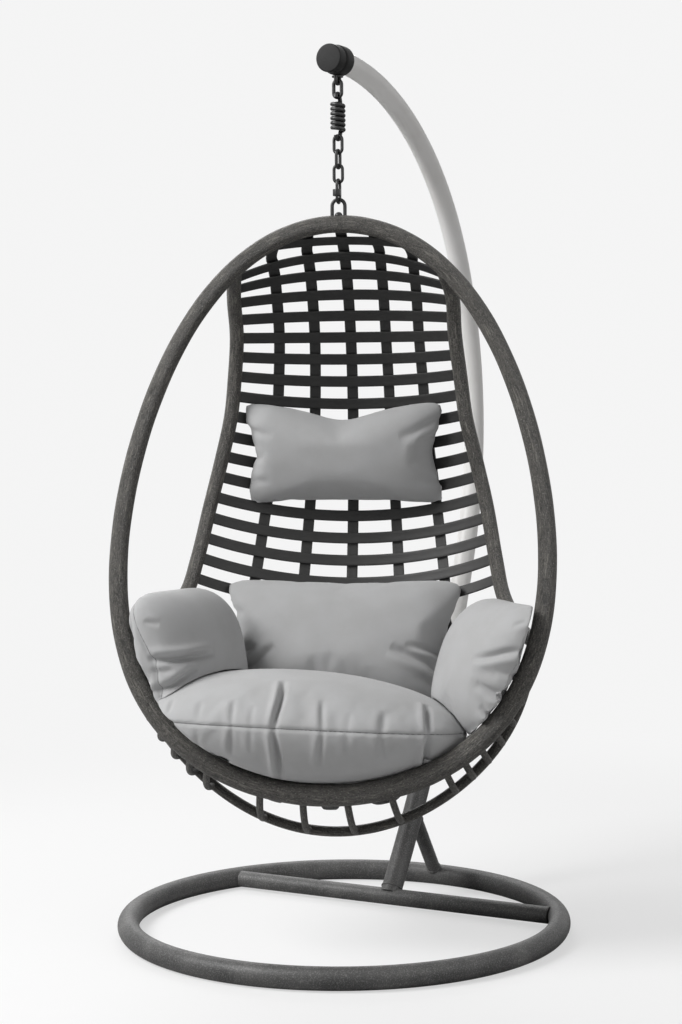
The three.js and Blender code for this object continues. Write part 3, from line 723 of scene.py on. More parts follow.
@dataclass(frozen=True)
class StrapPlastic:
    """Near-black flat cane straps, with fine lines along them and a tone that drifts a little paler in
    places.
    """

    name: str = "strap_black"
    dark: float = 0.011
    pale: float = 0.027
    ribs: float = 900.0
    drift: float = 26.0
    relief: float = 0.0005

    def material(self) -> bpy.types.Material:
        """The finish as a material."""
        paint = Paint(self.name)
        lines = paint.stretched(paint.map(), (1.0, 0.03, 1.0))
        ribs = paint.noise(lines, self.ribs, 3.0, 0.6)
        drift = paint.noise(paint.place(), self.drift, 3.0)
        tone = ribs.ramp(0.35, 0.8) * 0.55 + drift.ramp(0.35, 0.75) * 0.45
        colour = paint.mix(tone, grey(self.dark, 0.02), grey(self.pale, 0.03))
        return paint.finish(
            Base_Color=colour, Roughness=0.42 + ribs * 0.22,
            Normal=paint.bump(ribs, self.relief, 0.6),
        )


@dataclass(frozen=True)
class WovenFabric:
    """Mid-grey plain weave, with its sewn lines darker and drawn in, and painted shade in a narrow band
    beside them.
    """

    name: str = "grey_fabric"
    level: float = 0.420
    thread: float = 0.0011
    slub: float = 240.0
    drift: float = 14.0
    seam_line: float = 0.0016
    seam_core: float = 0.0002
    # painted shade beside the seams: where its band starts and where it is fullest, in metres from the seam
    # line
    seam_shade_outer: float = 0.010
    seam_shade_inner: float = 0.002
    stitch: float = 0.007
    relief: float = 0.0008
    sheen: float = 0.25
    sheen_spread: float = 0.5

    def material(self) -> bpy.types.Material:
        """The finish as a material."""
        paint = Paint(self.name)
        cloth = paint.attribute("cloth")
        place = paint.place()
        threads = 2 * math.pi / self.thread
        stitches = 2 * math.pi / self.stitch
        warp = (paint.part(cloth, "X") * threads).wave()
        weft = (paint.part(cloth, "Y") * threads).wave()
        weave = warp * weft * 0.5 + 0.5
        slub = paint.noise(paint.stretched(place, (1.0, 1.0, 6.0)), self.slub, 3.0)
        drift = paint.noise(place, self.drift, 4.0)
        seam = paint.attribute("seam", "Fac")
        line = seam.size().ramp(self.seam_line, self.seam_core)
        # painted shade in the drawn-in hollow beside each seam, strongest next to the seam line
        seam_shade = seam.size().ramp(self.seam_shade_outer, self.seam_shade_inner) * (1 - line)
        stitch = (paint.attribute("stitch", "Fac") * stitches).wave().ramp(-0.2, 0.3)
        colour = paint.mix(drift.ramp(0.3, 0.75), grey(self.level, -0.006), grey(self.level * 0.92))
        colour = paint.mix(weave * 0.10 + slub.ramp(0.4, 0.8) * 0.08, colour, grey(self.level * 1.25))
        # darkens the fabric by the painted shade beside the seams
        colour = paint.mix(seam_shade * 0.10, colour, grey(self.level * 0.6))
        colour = paint.mix(line * (0.45 + stitch * 0.3), colour, grey(0.05))
        height = weave * 0.25 + slub * 0.35 + drift * 0.2 - line * 1.5
        return paint.finish(
            Base_Color=colour, Roughness=0.78 + slub * 0.12, Sheen_Weight=self.sheen,
            Sheen_Roughness=self.sheen_spread, Normal=paint.bump(height, self.relief, 0.55),
        )


class Finish(Enum):
    """The finishes of the chair, each with its slot's name."""

    HAMMERTONE = Hammertone()
    PALE_POLE = PaleCoat()
    BLACK_PLASTIC = BlackPlastic()
    BLACK_METAL = BlackSteel()
    BARK_BROWN = BarkSleeve()
    STRAP_BLACK = StrapPlastic()
    GREY_FABRIC = WovenFabric()


@dataclass
class Dresser:
    """Hands out materials and ties pieces to the frame."""

    materials: dict[Finish, bpy.types.Material] = field(default_factory=dict)

    def make(self) -> None:
        """Makes every finish once."""
        for finish in Finish:
            self.materials[finish] = finish.value.material()

    def coat(self, piece: bpy.types.Object, finish: Finish) -> None:
        """Puts one finish on a whole piece.

        Args:
            piece: the mesh object.
            finish: which finish.
        """
        piece.data.materials.clear()
        piece.data.materials.append(self.materials[finish])

    def coat_node(self, node: str, finish: Finish) -> None:
        """Puts a finish on a node of the frame that stays in view.

        Args:
            node: the node's name.
            finish: which finish.
        """
        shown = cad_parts[node]
        if not shown.material_slots:
            shown.data.materials.append(self.materials[finish])
        for place in shown.material_slots:
            place.material = self.materials[finish]

    def attach(self, piece: bpy.types.Object, finish: Finish, body: str, *nodes: str) -> None:
        """Coats a piece, rides it on a body and lets it stand for nodes.

        Args:
            piece: the mesh object.
            finish: which finish.
            body: the body that it moves with.
            nodes: the nodes that it stands for.
        """
        self.coat(piece, finish)
        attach(piece, body)
        if nodes:
            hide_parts(*nodes)
        LOG.info("%s on %s, %d faces", piece.name, body, len(piece.data.polygons))


# Curves that the frame and the looks share


class SmoothCurve:
    """A centripetal curve through way points, in millimetres."""

    def __init__(self, points: Sequence[Sequence[float]]) -> None:
        """Keeps the way points and measures the curve.

        Args:
            points: the way points.
        """
        self.points = np.array(points, float)
        self.shares = np.linspace(0, 1, CURVE_STEPS)
        steps = np.linalg.norm(np.diff([self.at(share) for share in self.shares], axis=0), axis=1)
        self.reached = np.concatenate([[0], np.cumsum(steps)])

    @property
    def length(self) -> float:
        """The curve's length."""
        return float(self.reached[-1])

    def at(self, share: float) -> Points:
        """A point of the curve.

        Args:
            share: from 0 to 1, the same amount for each stretch between way points.

        Returns:
            The point.
        """
        last = len(self.points) - 1
        place = share * last
        index = min(int(math.floor(place)), last - 1)
        weight = place - index
        p1, p2 = self.points[index], self.points[index + 1]
        p0 = self.points[index - 1] if index else 2 * p1 - p2
        p3 = self.points[index + 2] if index + 2 <= last else 2 * p2 - p1
        spans = ((p0, p1), (p1, p2), (p2, p3))
        d0, d1, d2 = (max(np.linalg.norm(b - a) ** 0.5, 1e-4) for a, b in spans)
        t1 = ((p1 - p0) / d0 - (p2 - p0) / (d0 + d1) + (p2 - p1) / d1) * d1
        t2 = ((p2 - p1) / d1 - (p3 - p1) / (d1 + d2) + (p3 - p2) / d2) * d1
        c2 = -3 * p1 + 3 * p2 - 2 * t1 - t2
        c3 = 2 * p1 - 2 * p2 + t1 + t2
        return p1 + t1 * weight + c2 * weight**2 + c3 * weight**3

    def at_length(self, share: float) -> Points:
        """A point by share of the curve's length."""
        place = np.interp(share * self.length, self.reached, self.shares)
        return self.at(float(place))


def to_frame(points: Points, turn: float = 0.0) -> Points:
    """Millimetres about the hanging axis to metres in the frame.

    Args:
        points: places in millimetres.
        turn: degrees that the sub-assembly is turned about the hanging axis.

    Returns:
        Places in metres.
    """
    angle = math.radians(turn)
    spin = np.array([
        [math.cos(angle), -math.sin(angle), 0],
        [math.sin(angle), math.cos(angle), 0],
        [0, 0, 1],
    ])
    return np.asarray(points, float) @ spin.T * MM + np.array([0, HANG_AXIS_Y, 0])


@dataclass
class Stand:
    """The ring, the crossbar and the bent pole, in millimetres in the pole's own plane."""

    turn: float = -20.5
    ring_radius: float = 476.0
    ring_tube: float = 48.0
    crossbar_tube: float = 38.0
    pole_tube: float = 48.0
    brace_tube: float = 32.0
    foot_angle: float = 51.4
    pole_length: float = 2410.6
    arcs: tuple[tuple[float, float], ...] = ((0.374, 19.3), (0.2983, 44.9), (0.3277, 64.4))
    joint_at: float = 400.0
    brace_meets_at: float = 215.0
    collar_back: float = 21.0
    collar_length: float = 34.0
    collar_diameter: float = 65.0
    collar_edge: float = 5.0
    cap_diameter: float = 61.0
    cap_length: float = 29.0
    cap_edge: float = 3.0
    gap: float = 0.3
    bar_reach: float = 0.9
    post_start: float = 6.0
    joint_gap: float = 1.0
    pole_end_gap: float = 2.0
    brace_shares: tuple[float, float] = (0.06, 0.97)
    bead_wire: float = 4.8
    bead_sunk: float = 0.6
    bead_ripples: int = 18
    bead_ripple: float = 0.012
    foot_bead: float = 22.0
    brace_bead: float = 27.0
    brace_foot_bead: float = 23.0
    joint_sunk: float = 1.5

    def bend(self, distance: float) -> tuple[float, float]:
        """Reach and height of the pole's middle line from its foot.

        Args:
            distance: how far along the pole.

        Returns:
            The reach and the height.
        """
        heading = math.radians(self.foot_angle)
        reach = height = 0.0
        left = distance
        for share, turn in self.arcs:
            length = share * self.pole_length
            radius = length / math.radians(turn)
            step = min(left, length) / radius
            reach += radius * (math.sin(heading + step) - math.sin(heading))
            height += radius * (math.cos(heading) - math.cos(heading + step))
            heading += step
            left -= length
            if left <= 0:
                break
        return reach, height

    @property
    def floor_axis(self) -> float:
        """Height of the tubes on the floor."""
        return self.ring_tube / 2

    @property
    def foot_reach(self) -> float:
        """How far behind the hanging axis the pole starts."""
        return self.collar_back - self.collar_length - self.bend(self.pole_length)[0]

    @property
    def top_height(self) -> float:
        """Height of the pole's end."""
        return self.floor_axis + self.bend(self.pole_length)[1]

    def pole_point(self, distance: float) -> Points:
        """A point of the pole's middle line."""
        reach, height = self.bend(distance)
        return np.array([0, self.foot_reach + reach, self.floor_axis + height])

    def pole_points(self, distances: Sequence[float]) -> Points:
        """Points of the pole's middle line."""
        return np.array([self.pole_point(distance) for distance in distances])

    def tube(self, name: str, points: Points, diameter: float, closed: bool = False) -> bpy.types.Object:
        """One tube of the stand, at its place."""
        return sweep(name, to_frame(points, self.turn), diameter / 2 * MM, closed, 36)

    def weld(self, name: str, centre: Points, heading: Points, radius: float) -> bpy.types.Object:
        """A bead of weld round a tube's end.

        Args:
            name: the new object's name.
            centre: the bead's middle.
            heading: the tube's direction.
            radius: the bead's radius.

        Returns:
            The new object.
        """
        heading = unit(heading)
        any_way = [0.31, 0.2, 0.93]
        first = unit(np.cross(heading, any_way))
        second = np.cross(heading, first)
        angles = np.linspace(0, 2 * math.pi, 4 * self.bead_ripples, endpoint=False)
        ripple = 1 + self.bead_ripple * np.sin(angles * self.bead_ripples)
        ring = centre + radius * ripple[:, None] * (
            np.cos(angles)[:, None] * first + np.sin(angles)[:, None] * second
        )
        return sweep(name, to_frame(ring, self.turn), self.bead_wire / 2 * MM, True, 10)

    def mesh(self) -> dict[str, bpy.types.Object]:
        """Builds the stand's pieces.

        Returns:
            The pieces by name.
        """
        angles = np.linspace(0, 2 * math.pi, 160, endpoint=False)
        reach, floor = self.foot_reach, self.floor_axis
        ring = np.stack([
            self.ring_radius * np.sin(angles), self.ring_radius * np.cos(angles), np.full_like(angles, floor)
        ], axis=1)
        half = math.sqrt(self.ring_radius**2 - reach**2) - self.ring_tube / 2 * self.bar_reach
        bar = np.array([[x, reach, floor] for x in np.linspace(-half, half, 24)])
        lower = np.linspace(self.post_start, self.joint_at - self.joint_gap, 30)
        upper = np.linspace(self.joint_at + self.joint_gap, self.pole_length - self.pole_end_gap, 120)
        brace_end = self.pole_point(self.brace_meets_at)
        brace_start = np.array([0, self.ring_radius, floor])
        way = brace_end - brace_start
        brace = np.array([brace_start + way * s for s in np.linspace(*self.brace_shares, 20)])
        pieces = {
            "ring_tube": self.tube("ring_tube", ring, self.ring_tube, True),
            "floor_bar": self.tube("floor_bar", bar, self.crossbar_tube),
            "post_tube": self.tube("post_tube", self.pole_points(lower), self.pole_tube),
            "pole_arch": self.tube("pole_arch", self.pole_points(upper), self.pole_tube),
            "brace_tube": self.tube("brace_tube", brace, self.brace_tube),
        }
        foot, foot_ahead = self.pole_points((0, 5))
        joint, joint_ahead = self.pole_points((self.joint_at, self.joint_at + 5))
        foot_way, brace_way = unit(foot_ahead - foot), unit(way)
        pole_bead = self.pole_tube / 2 - self.bead_sunk
        brace_bead = self.brace_tube / 2 - self.bead_sunk
        beads = [
            self.weld("bead_foot", foot + foot_way * self.foot_bead, foot_way, pole_bead),
            self.weld("bead_brace", brace_end - brace_way * self.brace_bead, way, brace_bead),
            self.weld("bead_brace_foot", brace_start + brace_way * self.brace_foot_bead, way, brace_bead),
        ]
        pieces["weld_beads"] = join("weld_beads", beads)
        joint_radius = self.pole_tube / 2 - self.joint_sunk
        pieces["joint_ring"] = self.weld("joint_ring", joint, joint_ahead - joint, joint_radius)
        pieces["collar_shell"] = self.drum(
            "collar_shell", self.collar_diameter, self.collar_back, self.collar_length, self.collar_edge
        )
        front = self.collar_back - self.collar_length - self.gap
        pieces["cap_shell"] = self.drum(
            "cap_shell", self.cap_diameter, front, self.cap_length, self.cap_edge
        )
        return pieces

    def drum(self, name: str, diameter: float, back: float, length: float, edge: float) -> bpy.types.Object:
        """A rounded drum at the pole's head, with its axis along the pole's end.

        Args:
            name: the new object's name.
            diameter: across the drum.
            back: where its rear face lies.
            length: its length.
            edge: the radius of its rims.

        Returns:
            The new object.
        """
        select_only()
        bpy.ops.mesh.primitive_cylinder_add(
            vertices=96, radius=diameter / 2 * MM, depth=length * MM, end_fill_type="NGON"
        )
        piece = bpy.context.object
        piece.name = name
        local = read_points(piece) / MM
        turned = np.stack([
            local[:, 0], back - length / 2 + local[:, 2], self.top_height - local[:, 1]
        ], axis=1)
        write_points(piece, to_frame(turned, self.turn))
        face_outwards(piece)
        apply_modifier(
            piece, "BEVEL", width=edge * MM, segments=5, limit_method="ANGLE",
            angle_limit=math.radians(60),
        )
        smooth(piece, 35)
        return piece

    def dress(self, dresser: Dresser) -> None:
        """Builds the stand and gives each piece its finish.

        Args:
            dresser: hands out the finishes.
        """
        pieces = self.mesh()
        for name, finish, *nodes in (
            ("ring_tube", Finish.HAMMERTONE, "base_ring"),
            ("floor_bar", Finish.HAMMERTONE, "crossbar"),
            ("post_tube", Finish.HAMMERTONE, "lower_post"),
            ("brace_tube", Finish.HAMMERTONE, "rear_brace"),
            ("weld_beads", Finish.HAMMERTONE),
            ("joint_ring", Finish.BLACK_PLASTIC),
            ("pole_arch", Finish.PALE_POLE, "upper_pole"),
            ("collar_shell", Finish.BLACK_PLASTIC, "hanger_collar"),
            ("cap_shell", Finish.BLACK_PLASTIC, "pole_end_cap"),
        ):
            dresser.attach(pieces[name], finish, "stand", *nodes)
        dresser.coat_node("pole_spigot", Finish.HAMMERTONE)
        for node in ("eye_nut", "joint_bolt_lower", "joint_bolt_upper"):
            dresser.coat_node(node, Finish.BLACK_METAL)


@dataclass
class HangingGear:
    """The eye, the spring and the chain, in millimetres about the hanging axis."""

    stand: Stand
    eye_wire: float = 8.0
    eye_bend: float = 8.6
    eye_inside: float = 1.0
    neck_across: float = 22.0
    neck_height: float = 4.5
    neck_drop: float = 2.6
    link_wire: float = 7.0
    link_width: float = 26.4
    link_turns: tuple[float, ...] = (71.0, -17.0, 78.0)
    top_wire: float = 8.0
    top_width: float = 27.0
    spring_wire: float = 9.4
    spring_width: float = 34.0
    spring_turns: int = 6
    spring_pitch: float = 10.1
    hook_radius: float = 8.9
    quick_wire: float = 7.0
    quick_width: float = 31.0
    quick_turn: float = -8.5
    quick_slim: float = 0.90
    nut_across: float = 16.5
    nut_length: float = 15.0
    nut_from_end: float = 13.5
    nut_edge: float = 1.2
    opening: float = 8.0

    def low_of(self, node: str) -> float:
        """The lowest height of a node, in millimetres."""
        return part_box(node)[0].z / MM

    def high_of(self, node: str) -> float:
        """The highest height of a node, in millimetres."""
        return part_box(node)[1].z / MM

    @staticmethod
    def bow(half: float, high: float, low: float, steps: int = 16) -> Points:
        """A bow of wire: up one side, round the top and down the other.

        Args:
            half: half the bow's width at the wire's middle.
            high: height of its top.
            low: height of its ends.
            steps: how many steps the bend has.

        Returns:
            The bow's points.
        """
        angles = np.linspace(0, math.pi, steps + 1)
        bend = np.stack([
            np.zeros_like(angles), half * np.cos(angles), high - half + half * np.sin(angles)
        ], axis=1)
        return np.vstack([[0, half, low], bend, [0, -half, low]])

    def link(self, name: str, node: str, wire: float, width: float, turn: float) -> bpy.types.Object:
        """An oval link where a node is.

        Args:
            name: the new object's name.
            node: the node that it stands for.
            wire: the wire's thickness.
            width: the link's width.
            turn: degrees about the hanging axis.

        Returns:
            The new object.
        """
        high = self.high_of(node) - wire / 2
        low = self.low_of(node) + wire / 2
        top = self.bow((width - wire) / 2, high, low)[1:-1]
        foot = top * (1, -1, -1) + (0, 0, high + low)
        points = np.vstack([top, foot])
        return sweep(name, to_frame(points, turn), wire / 2 * MM, True, 18)

    def coil(self) -> bpy.types.Object:
        """The spring with its hooks.

        Returns:
            The new object.
        """
        high = self.high_of("spring") - self.spring_wire / 2
        low = self.low_of("spring") + self.spring_wire / 2
        middle = (high + low) / 2
        half_coil = self.spring_turns * self.spring_pitch / 2
        radius = (self.spring_width - self.spring_wire) / 2
        angles = np.linspace(0, 2 * math.pi * self.spring_turns, self.spring_turns * 28 + 1)
        heights = np.linspace(middle - half_coil, middle + half_coil, len(angles))
        helix = np.stack([radius * np.sin(angles), radius * np.cos(angles), heights], axis=1)
        top = self.bow(self.hook_radius, high, middle + half_coil + self.spring_wire, 10)[1:-1]
        foot = (top * (1, 1, -1) + (0, 0, 2 * middle))[::-1]
        points = np.vstack([foot, helix, top])
        dense = to_frame(along_path(points, np.linspace(0, 1, 260)), self.stand.turn)
        return sweep("spring_coil", dense, self.spring_wire / 2 * MM, False, 16)

    def nut(self, name: str, centre: Points, across: float, length: float, turn: float) -> bpy.types.Object:
        """A hexagon nut with softened corners.

        Args:
            name: the new object's name.
            centre: its middle in millimetres.
            across: over its flats.
            length: its height.
            turn: degrees that its sub-assembly is turned.

        Returns:
            The new object.
        """
        select_only()
        bpy.ops.mesh.primitive_cylinder_add(
            vertices=6, radius=across / math.sqrt(3) * MM, depth=length * MM, end_fill_type="NGON"
        )
        piece = bpy.context.object
        piece.name = name
        write_points(piece, to_frame(read_points(piece) / MM + centre, turn))
        apply_modifier(piece, "BEVEL", width=self.nut_edge * MM, segments=3)
        smooth(piece, 35)
        return piece

    def dress(self, dresser: Dresser) -> None:
        """Builds the hanging gear and gives each piece its finish.

        Args:
            dresser: hands out the finishes.
        """
        black = Finish.BLACK_METAL
        stand_turn = self.stand.turn
        wire_low = self.low_of("eye_bolt") + self.eye_wire / 2
        hang_top = self.stand.top_height - self.stand.collar_diameter / 2
        leg = hang_top - self.eye_inside - wire_low
        eye_points = self.bow(self.eye_bend, 0, -leg) * (1, 1, -1) + (0, 0, wire_low)
        eye = sweep("eye_bow", to_frame(eye_points, stand_turn), self.eye_wire / 2 * MM, False, 18)
        neck_place = np.array([0, 0, hang_top - self.neck_drop])
        neck = self.nut("eye_neck", neck_place, self.neck_across, self.neck_height, stand_turn)
        dresser.attach(join("eye_ring", [eye, neck]), black, "stand", "eye_bolt")
        dresser.attach(
            self.link("upper_link", "top_link", self.top_wire, self.top_width, stand_turn + 90),
            black, "top_link", "top_link",
        )
        coil = self.coil()
        dresser.coat(coil, black)
        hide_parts("spring")
        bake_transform(coil)
        for number, turn in enumerate(self.link_turns, start=1):
            node = f"chain_link_{number}"
            piece = self.link(f"oval_link_{number}", node, self.link_wire, self.link_width, turn)
            dresser.attach(piece, black, node, node)
        self.dress_quick_link(dresser)

    def dress_quick_link(self, dresser: Dresser) -> None:
        """Builds the screw link and its nut.

        Args:
            dresser: hands out the finishes.
        """
        black = Finish.BLACK_METAL
        high = self.high_of("quick_link") - self.quick_wire / 2
        low = self.low_of("quick_link") + self.quick_wire / 2
        half = (self.quick_width - self.quick_wire) / 2
        top = self.bow(half, high, low)[1:-1]
        foot = top * (1, -1, -1) + (0, 0, high + low)
        nut_low = low + self.nut_from_end
        centre = nut_low + self.nut_length / 2
        open_top = [0, -half, centre + self.opening / 2]
        open_foot = [0, -half, centre - self.opening / 2]
        points = np.vstack([[open_foot], foot, top, [open_top]])
        slim = self.quick_wire / 2 * self.quick_slim * MM
        piece = sweep("screw_link", to_frame(points, self.quick_turn), slim, False, 18)
        dresser.attach(piece, black, "quick_link", "quick_link")
        nut = self.nut(
            "screw_nut", np.array([0, -half, centre]), self.nut_across, self.nut_length, self.quick_turn
        )
        dresser.attach(nut, black, "quick_link_nut", "quick_link_nut")


@dataclass
class Basket:
    """The hoop, the rails and the straps, in millimetres about the hanging axis."""

    hoop_top: float = 1555.4828
    hoop_length: float = 1235.0
    half_reach: float = 474.0
    lean: float = 14.0
    top_tube: float = 38.0
    foot_tube: float = 46.0
    swell: float = -0.168
    flat: float = 0.054
    rail_tube: float = 32.0
    rail_ends: tuple[float, float] = (33.0, 119.0)
    rail_trim: float = 0.008
    knots: float = 0.012
    back_depth: float = 222.0
    rail_shares: tuple[tuple[float, float, float], ...] = (
        (0.513, 0.248, 0.13), (0.517, 0.428, 0.194), (0.54, 0.54, 0.275), (0.561, 0.563, 0.34),
        (0.61, 0.563, 0.421), (0.66, 0.496, 0.502), (0.709, 0.306, 0.599), (0.745, 0.117, 0.656),
        (0.833, -0.36, 0.706),
    )
    middle_shares: tuple[tuple[float, float], ...] = (
        (0.473, 0.065), (0.788, 0.162), (0.968, 0.283), (1.0, 0.405), (0.923, 0.543),
        (0.721, 0.688), (0.383, 0.834), (-0.135, 0.956), (-0.766, 1.008),
    )
    strap_width: float = 25.0
    strap_thickness: float = 4.4
    lap: float = 7.0
    pitch: float = 51.5
    first_at: float = 58.0
    row_ends: tuple[float, float] = (19.0, 161.0)
    top_row_angle: float = 24.0
    rows_on_rail: tuple[float, float] = (0.035, 0.7)
    rows_power: float = 1.09
    seat_row_angle: float = 128.8
    seat_row_step: float = 4.6
    back_count: int = 18
    seat_count: int = 7
    long_shares: tuple[float, ...] = (-0.6, -0.3, 0.0, 0.3, 0.6)
    top_spread: float = 1.63
    spread_rows: int = 2
    seat_spread: float = 0.62
    foot_spread: float = 1.6
    cradle_start: float = 124.0
    cradle_back: float = 155.0
    cradle_outside: float = 30.0
    cradle_below: float = 68.0
    cradle_tube: float = 22.0
    rung_bow: float = 0.3
    rung_start: float = 0.06
    rung_tube: float = 15.0
    side_rungs: int = 6
    foot_rungs: int = 2
    foot_rung_step: float = 9.0
    mouth_start: float = 80.0
    mouth_share: float = 0.86
    loop_wire: float = 8.0
    loop_width: float = 36.0
    loop_foot: float = 8.0
    dome_radius: float = 8.3
    dome_squash: float = 0.84
    dome_height: float = 19.0

    def __post_init__(self) -> None:
        """Works out the curves that the straps hang between."""
        self.rail_path = SmoothCurve(
            [self.hoop_point(self.rail_ends[0])]
            + [self.shell_place(*shares) for shares in self.rail_shares]
            + [self.hoop_point(self.rail_ends[1])]
        )
        self.middle_path = SmoothCurve(
            [self.hoop_point(0)]
            + [self.shell_place(0, back, down) for back, down in self.middle_shares]
            + [self.hoop_point(180)]
        )
        rows = range(self.row_count)
        self.middles = SmoothCurve(
            [self.hoop_point(0)] + [self.row_middle(row) for row in rows] + [self.hoop_point(180)]
        )
        first, last = (self.hoop_point(angle) for angle in self.row_ends)
        self.ends = SmoothCurve([first] + [self.row_end(row) for row in rows] + [last])

    @property
    def row_count(self) -> int:
        """How many straps cross the basket."""
        return self.back_count + self.seat_count

    def hoop_point(self, degrees: float) -> Points:
        """A point of the hoop's middle line.

        Args:
            degrees: the angle round the hoop, from its top.

        Returns:
            The point.
        """
        angle, lean = math.radians(degrees), math.radians(self.lean)
        swell = 1 + self.swell * math.cos(angle) + self.flat * math.cos(2 * angle)
        down = self.hoop_length / 2 * (1 - math.cos(angle))
        return np.array([
            self.half_reach * math.sin(angle) * swell,
            -down * math.sin(lean),
            self.hoop_top - down * math.cos(lean),
        ])

    def hoop_radius(self, degrees: float) -> float:
        """The hoop tube's radius, by the angle round the hoop."""
        share = ((1 - math.cos(math.radians(degrees))) / 2) ** 3
        return (self.top_tube + (self.foot_tube - self.top_tube) * share) / 2

    def shell_place(self, across: float, back: float, down: float) -> Points:
        """A place from shares of the reach, the depth and the height."""
        return np.array([
            across * self.half_reach, back * self.back_depth, self.hoop_top - down * self.hoop_length
        ])

    def row_middle(self, row: int) -> Points:
        """Where a cross strap meets the middle line.

        Args:
            row: which strap, from the top.

        Returns:
            The point.
        """
        last = self.first_at + (self.back_count - 1) * self.pitch
        seat_pitch = (self.middle_path.length - last) / (self.seat_count + 1)
        along = self.first_at + row * self.pitch
        if row >= self.back_count:
            along = last + (row - self.back_count + 1) * seat_pitch
        return self.middle_path.at_length(along / self.middle_path.length)

    def row_end(self, row: int) -> Points:
        """Where a cross strap's right-hand end is held.

        Args:
            row: which strap, from the top.

        Returns:
            The point.
        """
        if row == 0:
            return self.hoop_point(self.top_row_angle)
        if row < self.back_count:
            high, low = self.rows_on_rail
            share = ((row - 1) / (self.back_count - 2)) ** self.rows_power
            return self.rail_path.at_length(high + (low - high) * share)
        return self.hoop_point(self.seat_row_angle + (row - self.back_count) * self.seat_row_step)

    def shell_point(self, row: float, share: float) -> Points:
        """A point of the shell.

        Args:
            row: which cross strap, -1 and the count of rows being on the hoop.
            share: from -1 to 1 along the row.

        Returns:
            The point.
        """
        place = (row + 1) / (self.row_count + 1)
        middle, end = self.middles.at(place), self.ends.at(place)
        rise = middle - np.array([0, end[1], end[2]])
        depth = float(np.linalg.norm(rise))
        rise = rise / depth
        radius = (end[0] ** 2 + depth**2) / (2 * depth)
        angle = 2 * math.atan2(depth, end[0]) * share
        return middle + rise * radius * (math.cos(angle) - 1) + np.array([radius * math.sin(angle), 0, 0])

    def shell_frame(self, row: float, share: float) -> tuple[Points, Points, Points]:
        """A point of the shell and its directions.

        Args:
            row: which cross strap, as for shell_point.
            share: from -1 to 1 along the row.

        Returns:
            The point, the way along its row and the way outwards.
        """
        nudge = 0.02
        inside = min(max(row, nudge - 1), self.row_count - nudge)
        along = self.shell_point(inside, share + nudge) - self.shell_point(inside, share - nudge)
        down = self.shell_point(inside + nudge, share) - self.shell_point(inside - nudge, share)
        return self.shell_point(row, share), unit(along), unit(np.cross(along, down))

    def spread(self, row: float) -> float:
        """How far the long straps spread or draw together.

        Args:
            row: which cross strap they cross.

        Returns:
            The factor on each strap's share along the row.
        """
        if row < self.back_count - 1:
            share = min(max((row + 1) / self.spread_rows, 0), 1)
            return self.top_spread + (1 - self.top_spread) * share
        if row < self.back_count:
            return 1 + (self.seat_spread - 1) * (row - self.back_count + 1)
        share = (row - self.back_count) / self.seat_count
        return self.seat_spread + (self.foot_spread - self.seat_spread) * share

    def strap(self, name: str, places: Sequence[tuple[float, float]], lift: float) -> bpy.types.Object:
        """One strap over the shell.

        Args:
            name: the new object's name.
            places: the row and the share along it for each step of the strap.
            lift: how far outside the shell it lies.

        Returns:
            The new object.
        """
        stations = [self.shell_frame(row, share) for row, share in places]
        outward = np.array([station[2] for station in stations])
        points = np.array([station[0] for station in stations]) + outward * lift
        across = unit(np.cross(unit(np.gradient(points, axis=0)), outward))
        return band(
            name, to_frame(points), across, outward, self.strap_width * MM, self.strap_thickness * MM
        )

    def cross_strap(self, row: int) -> bpy.types.Object:
        """One strap across the basket."""
        places = [(row, share) for share in np.linspace(-1, 1, 49)]
        return self.strap(f"cross_band_{row + 1}", places, 0.0)

    def long_strap(self, number: int, share: float) -> bpy.types.Object:
        """One strap down the basket, behind the cross straps."""
        rows = np.linspace(-1, self.row_count, 161)
        return self.strap(f"long_band_{number}", [(row, share * self.spread(row)) for row in rows], self.lap)

    def hoop(self) -> bpy.types.Object:
        """The front hoop in its moulded sleeve.

        Returns:
            The new object.
        """
        angles = np.linspace(0, 360, 240, endpoint=False)
        points = to_frame(np.array([self.hoop_point(a) for a in angles]))
        radii = np.array([self.hoop_radius(a) for a in angles])
        fine, coarse = np.sin(np.radians(angles) * 23), np.sin(np.radians(angles) * 7 + 1)
        knots = 1 + self.knots * fine * coarse
        return sweep("hoop_sleeve", points, radii * knots * MM, True, 40)

    def rail(self, side: int) -> bpy.types.Object:
        """One side rail of the back.

        Args:
            side: 1 for the right-hand one, -1 for the left.

        Returns:
            The new object.
        """
        shares = np.linspace(self.rail_trim, 1 - self.rail_trim, 110)
        points = np.array([self.rail_path.at_length(share) for share in shares])
        points[:, 0] *= side
        name = "rail_sleeve_right" if side > 0 else "rail_sleeve_left"
        return sweep(name, to_frame(points), self.rail_tube / 2 * MM, False, 32)

    def away(self, point: Points) -> Points:
        """The way from the hoop's middle to a point of it."""
        return unit(point - (self.hoop_point(0) + self.hoop_point(180)) / 2)

    def cradle_point(self, degrees: float) -> Points:
        """A point of the cradle's long tube.

        Args:
            degrees: the angle round the hoop, from its top.

        Returns:
            The point.
        """
        share = (degrees - self.cradle_start) / (360 - 2 * self.cradle_start)
        swing = math.sin(math.pi * min(max(share, 0), 1))
        bulge = 1 - (1 - swing) ** 2
        outside = self.cradle_outside + (self.cradle_below - self.cradle_outside) * swing**4
        point = self.hoop_point(degrees)
        lean = math.radians(self.lean)
        back = np.array([0, math.cos(lean), -math.sin(lean)])
        return point + self.away(point) * outside * bulge + back * self.cradle_back * bulge

